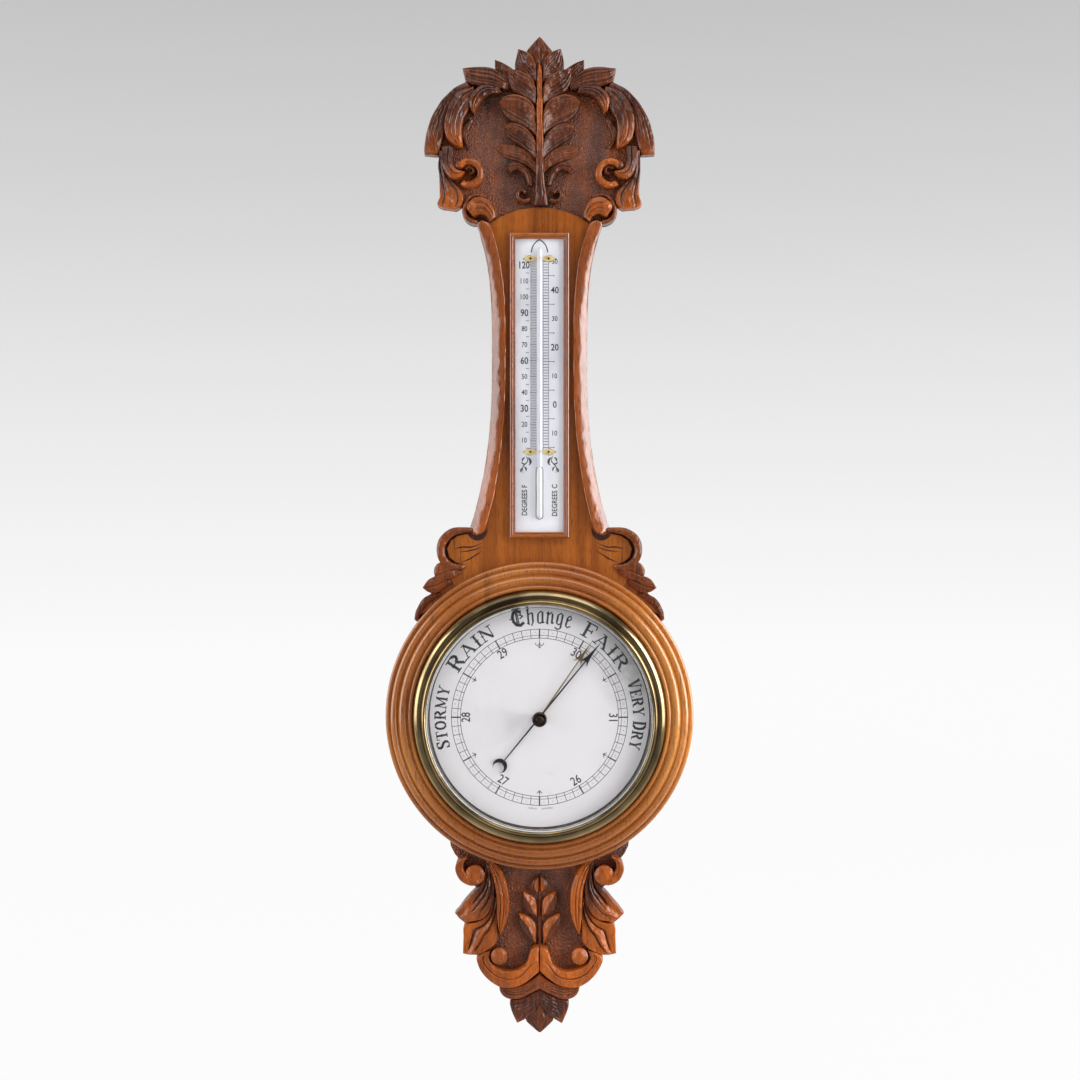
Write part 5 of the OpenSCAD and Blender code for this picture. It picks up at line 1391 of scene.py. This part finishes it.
class BAROMETER_OT_hands(Step, bpy.types.Operator):
    """Cut the blued pointer, the brass set hand and the turned knob"""

    bl_idname = "barometer.hands"
    bl_label = "Hands and Knob"

    def execute(self, context):
        blued = ("blued_steel", "blued_steel", ("indicator_hand",), "pointer")
        self.hand("pointer_hand", POINTER, blued, depth=46.6, angle=39.3, hub_r=2.6, hub_high=2.0)
        brass = ("aged_brass", "brass", ("set_hand",), "set_hand")
        self.hand("setting_hand", SETTER, brass, depth=50.1, angle=34.4, hub_r=3.2, hub_high=1.6)
        bm = new_bmesh()
        turn(bm, KNOB, 72, closed=False)
        fill_ends(bm)
        add_piece("turned_knob", bm, "dark_bronze", "brass", ("set_knob",), "set_hand")
        return {"FINISHED"}

    def hand(self, name, half, finished, depth, angle, hub_r, hub_high):
        """A flat hand with eased edges and a round hub, turned to its angle."""
        bm = new_bmesh()
        thicken(bm, [flat_outline(bm, mirrored(half), depth)], HAND_THICK)
        bmesh.ops.recalc_face_normals(bm, faces=bm.faces)
        front = -(depth + HAND_THICK) * MM
        edges = [e for e in bm.edges if all(abs(v.co.y - front) < 1e-7 for v in e.verts)]
        bmesh.ops.bevel(
            bm, geom=edges, offset=HAND_EASE * MM, offset_type="OFFSET", affect="EDGES",
            segments=2, profile=0.5, material=-1,
        )
        at = Matrix.Translation(place(0, depth + hub_high / 2, 0))
        bmesh.ops.create_cone(
            bm, cap_ends=True, segments=32, radius1=hub_r * MM, radius2=hub_r * 0.85 * MM,
            depth=hub_high * MM, matrix=at @ Matrix.Rotation(math.radians(90), 4, "X"),
        )
        swing(bm, DIAL_Z, angle)
        add_piece(name, bm, *finished)


class BAROMETER_OT_thermometer(Step, bpy.types.Operator):
    """Frame, print and fill the thermometer in the waist"""

    bl_idname = "barometer.thermometer"
    bl_label = "Thermometer"

    # Height of the highest figure of each scale, and the length of a degree
    F_TOP, F_STEP = -129.5, 1.439
    C_TOP, C_STEP = -126.2, 2.587
    SCALE_TOP, SCALE_FOOT = -122.0, -297.0
    F_FIGURES, C_FIGURES, WORDS_Z = -13.6, 13.8, -342
    BULB = 47.0

    def execute(self, context):
        low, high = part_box("frame_left")[0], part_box("frame_right")[1]
        width, height = (high.x - low.x) / MM, (high.z - low.z) / MM
        middle = (high.z + low.z) / 2 / MM
        for name, angle in (("right", 0), ("top", -90), ("left", 180), ("bottom", 90)):
            if name in ("left", "right"):
                self.strip(name, angle, width, height, middle, "moulded_oak")
            else:
                self.strip(name, angle, height, width, middle, "cross_oak")
        dress("enamel_plate", "thermometer_plate")
        dress("clip_brass", "tube_clip_upper", "tube_clip_lower")
        dress("dark_bronze", "clip_pins")
        dress("quicksilver", "mercury")
        self.tube()
        self.scales()
        return {"FINISHED"}

    def strip(self, name, angle, span, reach, middle, finish_name):
        """One mitred strip of the bead frame, drawn upright on the right and turned to its side."""
        bm = new_bmesh()
        verts = [bm.verts.new(place(span / 2 - o, d, -reach / 2 + o)) for o, d in BEAD]
        edges = [bm.edges.new(pair) for pair in zip(verts, [*verts[1:], verts[0]])]
        for item in bmesh.ops.extrude_edge_only(bm, edges=edges)["geom"]:
            if isinstance(item, bmesh.types.BMVert):
                item.co.z = -item.co.z
        fill_ends(bm)
        swing(bm, middle, angle)
        polish, warmth = layers(bm)
        for vert in bm.verts:
            vert[polish], vert[warmth] = 0.75, 0.45
        add_piece(f"bead_{name}", bm, finish_name, "oak_panel", (f"frame_{name}",))

    def tube(self):
        """The glass tube with its bulb, where the milk glass is paler, and its fused tip."""
        low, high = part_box("thermometer_tube")
        axis = -(low.y + high.y) / 2 / MM
        bottom, top = low.z / MM, high.z / MM
        joint = bottom + self.BULB
        profile = [
            (0.0, bottom), (1.2, bottom + 0.4), (2.2, bottom + 1.4), (2.6, bottom + 3.2),
            (2.6, joint - 4), (2.2, joint - 1.6), (1.5, joint - 0.4), (2.3, joint + 1.6),
            (2.3, top), (2.2, top + 1.4), (1.6, top + 3.0), (0.7, top + 3.8), (0.0, top + 4.0),
        ]
        bm = new_bmesh()
        points = [place(r, axis, z) for r, z in profile]
        spin(bm, points, place(0, axis, 0), (0, 0, 1), 32, closed=False)
        polish, _ = layers(bm)
        for vert in bm.verts:
            vert[polish] = float(vert.co.z < (joint - 1) * MM)
        nodes = ("thermometer_tube", "thermometer_tip")
        add_piece("glass_tube", bm, "milk_glass", "tube_glass", nodes)

    def scales(self):
        ink = Print(PLATE_FRONT)
        for degree in range(4, 123):
            z = self.F_TOP - (120 - degree) * self.F_STEP
            start, width = (-7.6, 0.34) if degree % 10 else (-8.6, 0.5)
            ink.line((start, z), (-2.8, z), width)
            if degree % 10 == 5:
                ink.line((-12.2, z), (-9.6, z), 0.5)
        for degree in range(10, 121, 10):
            at = (self.F_FIGURES, self.F_TOP - (120 - degree) * self.F_STEP)
            height, weight = (4.8, 0.014) if degree % 30 else (6.6, 0.018)
            ink.text(str(degree), height, at, weight=weight, stretch=0.8)
        for degree in range(-16, 52):
            z = self.C_TOP - (50 - degree) * self.C_STEP
            ink.line((3.4, z), (8.2, z), 0.5)
            if degree % 10 == 5:
                ink.line((8.4, z), (12.6, z), 0.45)
                ink.line((12.6, z), (13.5, z), 1.0)
        for x in (3.4, 8.2, -7.8):
            ink.line((x, self.SCALE_TOP), (x, self.SCALE_FOOT), 0.3)
        for degree in range(-10, 51, 10):
            at = (self.C_FIGURES, self.C_TOP - (50 - degree) * self.C_STEP)
            height, weight = (4.6, 0.014) if degree % 20 else (6.2, 0.018)
            ink.text(str(abs(degree)), height, at, weight=weight, stretch=0.85)
        for side in (-1, 1):
            self.ornaments(ink, side)
        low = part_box("thermometer_tube")[0].z / MM
        for side in (-1, 1):
            # The dark line round the bulb is painted shade
            ink.curve(on_side(drawn(BULB_SHADE_LINE), side, low), 30, 0.6)
        for words, side in (("DEGREES F", -1), ("DEGREES C", 1)):
            ink.text(words, 5.0, (side * 13.6, self.WORDS_Z), -90, 0.02, 0.86)
        ink.finish("scale_print", "plate_white")

    def ornaments(self, ink, side):
        """Half an arch over the tube, a flourish, and lines round the ends of the clips."""
        ink.curve(on_side(drawn(TUBE_ARCH), side), 14, 1.0)
        for swell, points in FLOURISH:
            ink.curve(on_side(drawn(points), side), 10, 0.25, swell)
        for clip in ("tube_clip_upper", "tube_clip_lower"):
            near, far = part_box(clip)
            z, half = (near.z + far.z) / 2 / MM, (far.z - near.z) / 2 / MM + 0.2
            start, end = 2.8, far.x / MM + 0.5
            for way in (-1, 1):
                lid = [(start, z), ((start + end) / 2, z + way * half), (end, z)]
                ink.curve(on_side(lid, side), 10, 0.55)


class BAROMETER_OT_works(Step, bpy.types.Operator):
    """Finish the movement, the back cover, the hanging plate and the screws"""

    bl_idname = "barometer.works"
    bl_label = "Movement and Back"

    BRASS = (
        "movement_casing", "vacuum_capsule", "shaft_brackets", "arbor_plate", "plate_pillars",
        "arbor_cock", "dial_pillars", "back_cover", "hanger_plate",
    )
    STEEL = (
        "ring_screws", "casing_screws", "spring_bridge", "main_spring", "main_lever", "lever_link",
        "rocking_shaft", "chain", "hand_arbor", "adjusting_screw", "cover_screws", "hanger_screws",
    )

    def execute(self, context):
        dress("aged_brass", *self.BRASS)
        dress("bright_steel", *self.STEEL)
        dress("blued_steel", "hairspring")
        return {"FINISHED"}


class BAROMETER_OT_stage(Step, bpy.types.Operator):
    """Set the camera, the lamps, and a round room of pale paper"""

    bl_idname = "barometer.stage"
    bl_label = "Studio Stage"

    # In metres: height of the floor, distance of the backdrop, radius and top of the room, and
    # radius of the cove between floor and wall
    FLOOR, BACK, ROOM, CEILING, COVE = -0.95, 2.3, 6.0, 6.0, 0.5
    CAMERA_AT, LENS, SENSOR = (0.00045, -1.2, -0.378), 43.15, 36.0
    PAPER_HIGH = 2.0
    PAPER_GLOW = 0.94
    # Greys of the paper by height, and of the sky round the room by direction
    PAPER = ((0.0, 255), (0.12, 254), (0.29, 245), (0.48, 233), (0.74, 213), (1.0, 196))
    SKY = ((0.09, 250), (0.2, 240), (0.45, 224), (1.0, 210))
    SKY_LIGHT = 0.22
    AIM = (0, 0, -0.4)
    LAMPS = (
        ("left_softbox", (-2.2, -0.75, -0.2), (1.8, 2.4), 41),
        ("right_softbox", (2.2, -0.75, -0.2), (1.8, 2.4), 79),
        ("top_softbox", (0.0, -1.2, 1.5), (2.4, 1.6), 15),
    )

    def execute(self, context):
        scene = context.scene
        scene.view_settings.view_transform = "Standard"
        view = bpy.data.cameras.new("front_view")
        view.sensor_width, view.lens = self.SENSOR, self.LENS
        camera = bpy.data.objects.new("front_view", view)
        camera.location = self.CAMERA_AT
        camera.rotation_euler = (math.radians(90), 0, 0)
        scene.collection.objects.link(camera)
        scene.camera = camera
        self.room(scene)
        self.world(scene)
        for name, at, size, power in self.LAMPS:
            lamp = bpy.data.lights.new(name, "AREA")
            lamp.shape, lamp.energy = "RECTANGLE", power
            lamp.size, lamp.size_y = size
            holder = bpy.data.objects.new(name, lamp)
            holder.location = at
            way = Vector(self.AIM) - Vector(at)
            holder.rotation_euler = way.to_track_quat("-Z", "Y").to_euler()
            scene.collection.objects.link(holder)
        return {"FINISHED"}

    def greys(self, stops):
        return [(position, linear(grey, grey, grey)) for position, grey in stops]

    def room(self, scene):
        bm = bmesh.new()
        bend = arc_points((self.ROOM - self.COVE, self.FLOOR + self.COVE), self.COVE, -90, 0, 10)
        path = [(0.0, self.FLOOR), *bend, (self.ROOM, self.CEILING)]
        spin(bm, [(0, y, z) for y, z in path], (0, 0, 0), (0, 0, 1), 128, closed=False)
        bmesh.ops.translate(bm, verts=bm.verts, vec=(0, self.BACK - self.ROOM, 0))
        bmesh.ops.recalc_face_normals(bm, faces=bm.faces)
        for face in bm.faces:
            face.smooth = True
        mesh = bpy.data.meshes.new("studio_sweep")
        bm.to_mesh(mesh)
        bm.free()
        mesh.materials.append(self.paper())
        room = bpy.data.objects.new("studio_sweep", mesh)
        scene.collection.objects.link(room)

    def paper(self):
        """Paper that glows where it is seen, less so ahead of the object in its gloss. Walls let
        the light of lamps and sky through, and the floor catches it."""
        f = Finish("studio_paper")
        _, back, up = f.axes()
        seen, glossy = f.rays()
        f.set(Base_Color=(0.8, 0.8, 0.8), Roughness=0.9)
        rise = f.range(up, self.FLOOR, self.FLOOR + self.PAPER_HIGH)
        dim = f.math("MULTIPLY", glossy, f.range(back, 0.4, -0.5, 0.0, 0.8))
        strength = f.math("SUBTRACT", 1.0, dim)
        tone = f.ramp(rise, *self.greys(self.PAPER))
        glow = f.add("Emission", {"Color": tone, "Strength": strength})
        paper = f.mix(self.PAPER_GLOW, f.shader, glow)
        wall = f.range(up, self.FLOOR, self.FLOOR + self.COVE)
        f.show(f.mix(seen, f.mix(wall, f.shader, f.add("BsdfTransparent")), paper))
        return f.material

    def world(self, scene):
        """Even light for the object, and a pale sky where the world itself is seen."""
        world = bpy.data.worlds.new("studio_light")
        world.use_nodes = True
        scene.world = world
        w = NodeTree(world.node_tree, "Generated")
        _, back, up = w.axes()
        seen, glossy = w.rays()
        dim = w.math("MULTIPLY", glossy, w.range(back, -0.05, -0.6, 0.0, 0.75))
        tone = w.ramp(w.range(up, -0.1, 1.0), *self.greys(self.SKY))
        sky = w.add("Background", {"Color": tone, "Strength": w.math("SUBTRACT", 1.0, dim)})
        even = w.add("Background", {"Color": (1, 1, 1), "Strength": self.SKY_LIGHT})
        w.add("OutputWorld", {"Surface": w.mix(seen, even, sky).outputs[0]})


PIECE_OPERATORS = (
    BAROMETER_OT_board,
    BAROMETER_OT_crest,
    BAROMETER_OT_base,
    BAROMETER_OT_shoulders,
    BAROMETER_OT_mouldings,
    BAROMETER_OT_ring,
    BAROMETER_OT_bezel,
    BAROMETER_OT_dial,
    BAROMETER_OT_hands,
    BAROMETER_OT_thermometer,
    BAROMETER_OT_works,
    BAROMETER_OT_stage,
)


class BAROMETER_PT_panel(bpy.types.Panel):
    """Sidebar panel with the barometer's pieces, sizes and colours"""

    bl_idname = "BAROMETER_PT_panel"
    bl_label = "Wall Barometer"
    bl_space_type = "VIEW_3D"
    bl_region_type = "UI"
    bl_category = "Barometer"

    def draw(self, context):
        for operator in PIECE_OPERATORS:
            self.layout.operator(operator.bl_idname)
        for group in (context.scene.barometer_sizes, context.scene.barometer_colours):
            box = self.layout.box()
            for name in group.bl_rna.properties.keys():
                if name not in ("rna_type", "name"):
                    box.prop(group, name)


CLASSES = (BarometerSizes, BarometerColours, *PIECE_OPERATORS, BAROMETER_PT_panel)


def register():
    for cls in CLASSES:
        bpy.utils.register_class(cls)
    bpy.types.Scene.barometer_sizes = PointerProperty(type=BarometerSizes)
    bpy.types.Scene.barometer_colours = PointerProperty(type=BarometerColours)


def unregister():
    del bpy.types.Scene.barometer_colours
    del bpy.types.Scene.barometer_sizes
    for cls in reversed(CLASSES):
        bpy.utils.unregister_class(cls)


def main():
    register()
    for operator in PIECE_OPERATORS:
        group, name = operator.bl_idname.split(".")
        getattr(getattr(bpy.ops, group), name)()


if __name__ == "__main__":
    main()
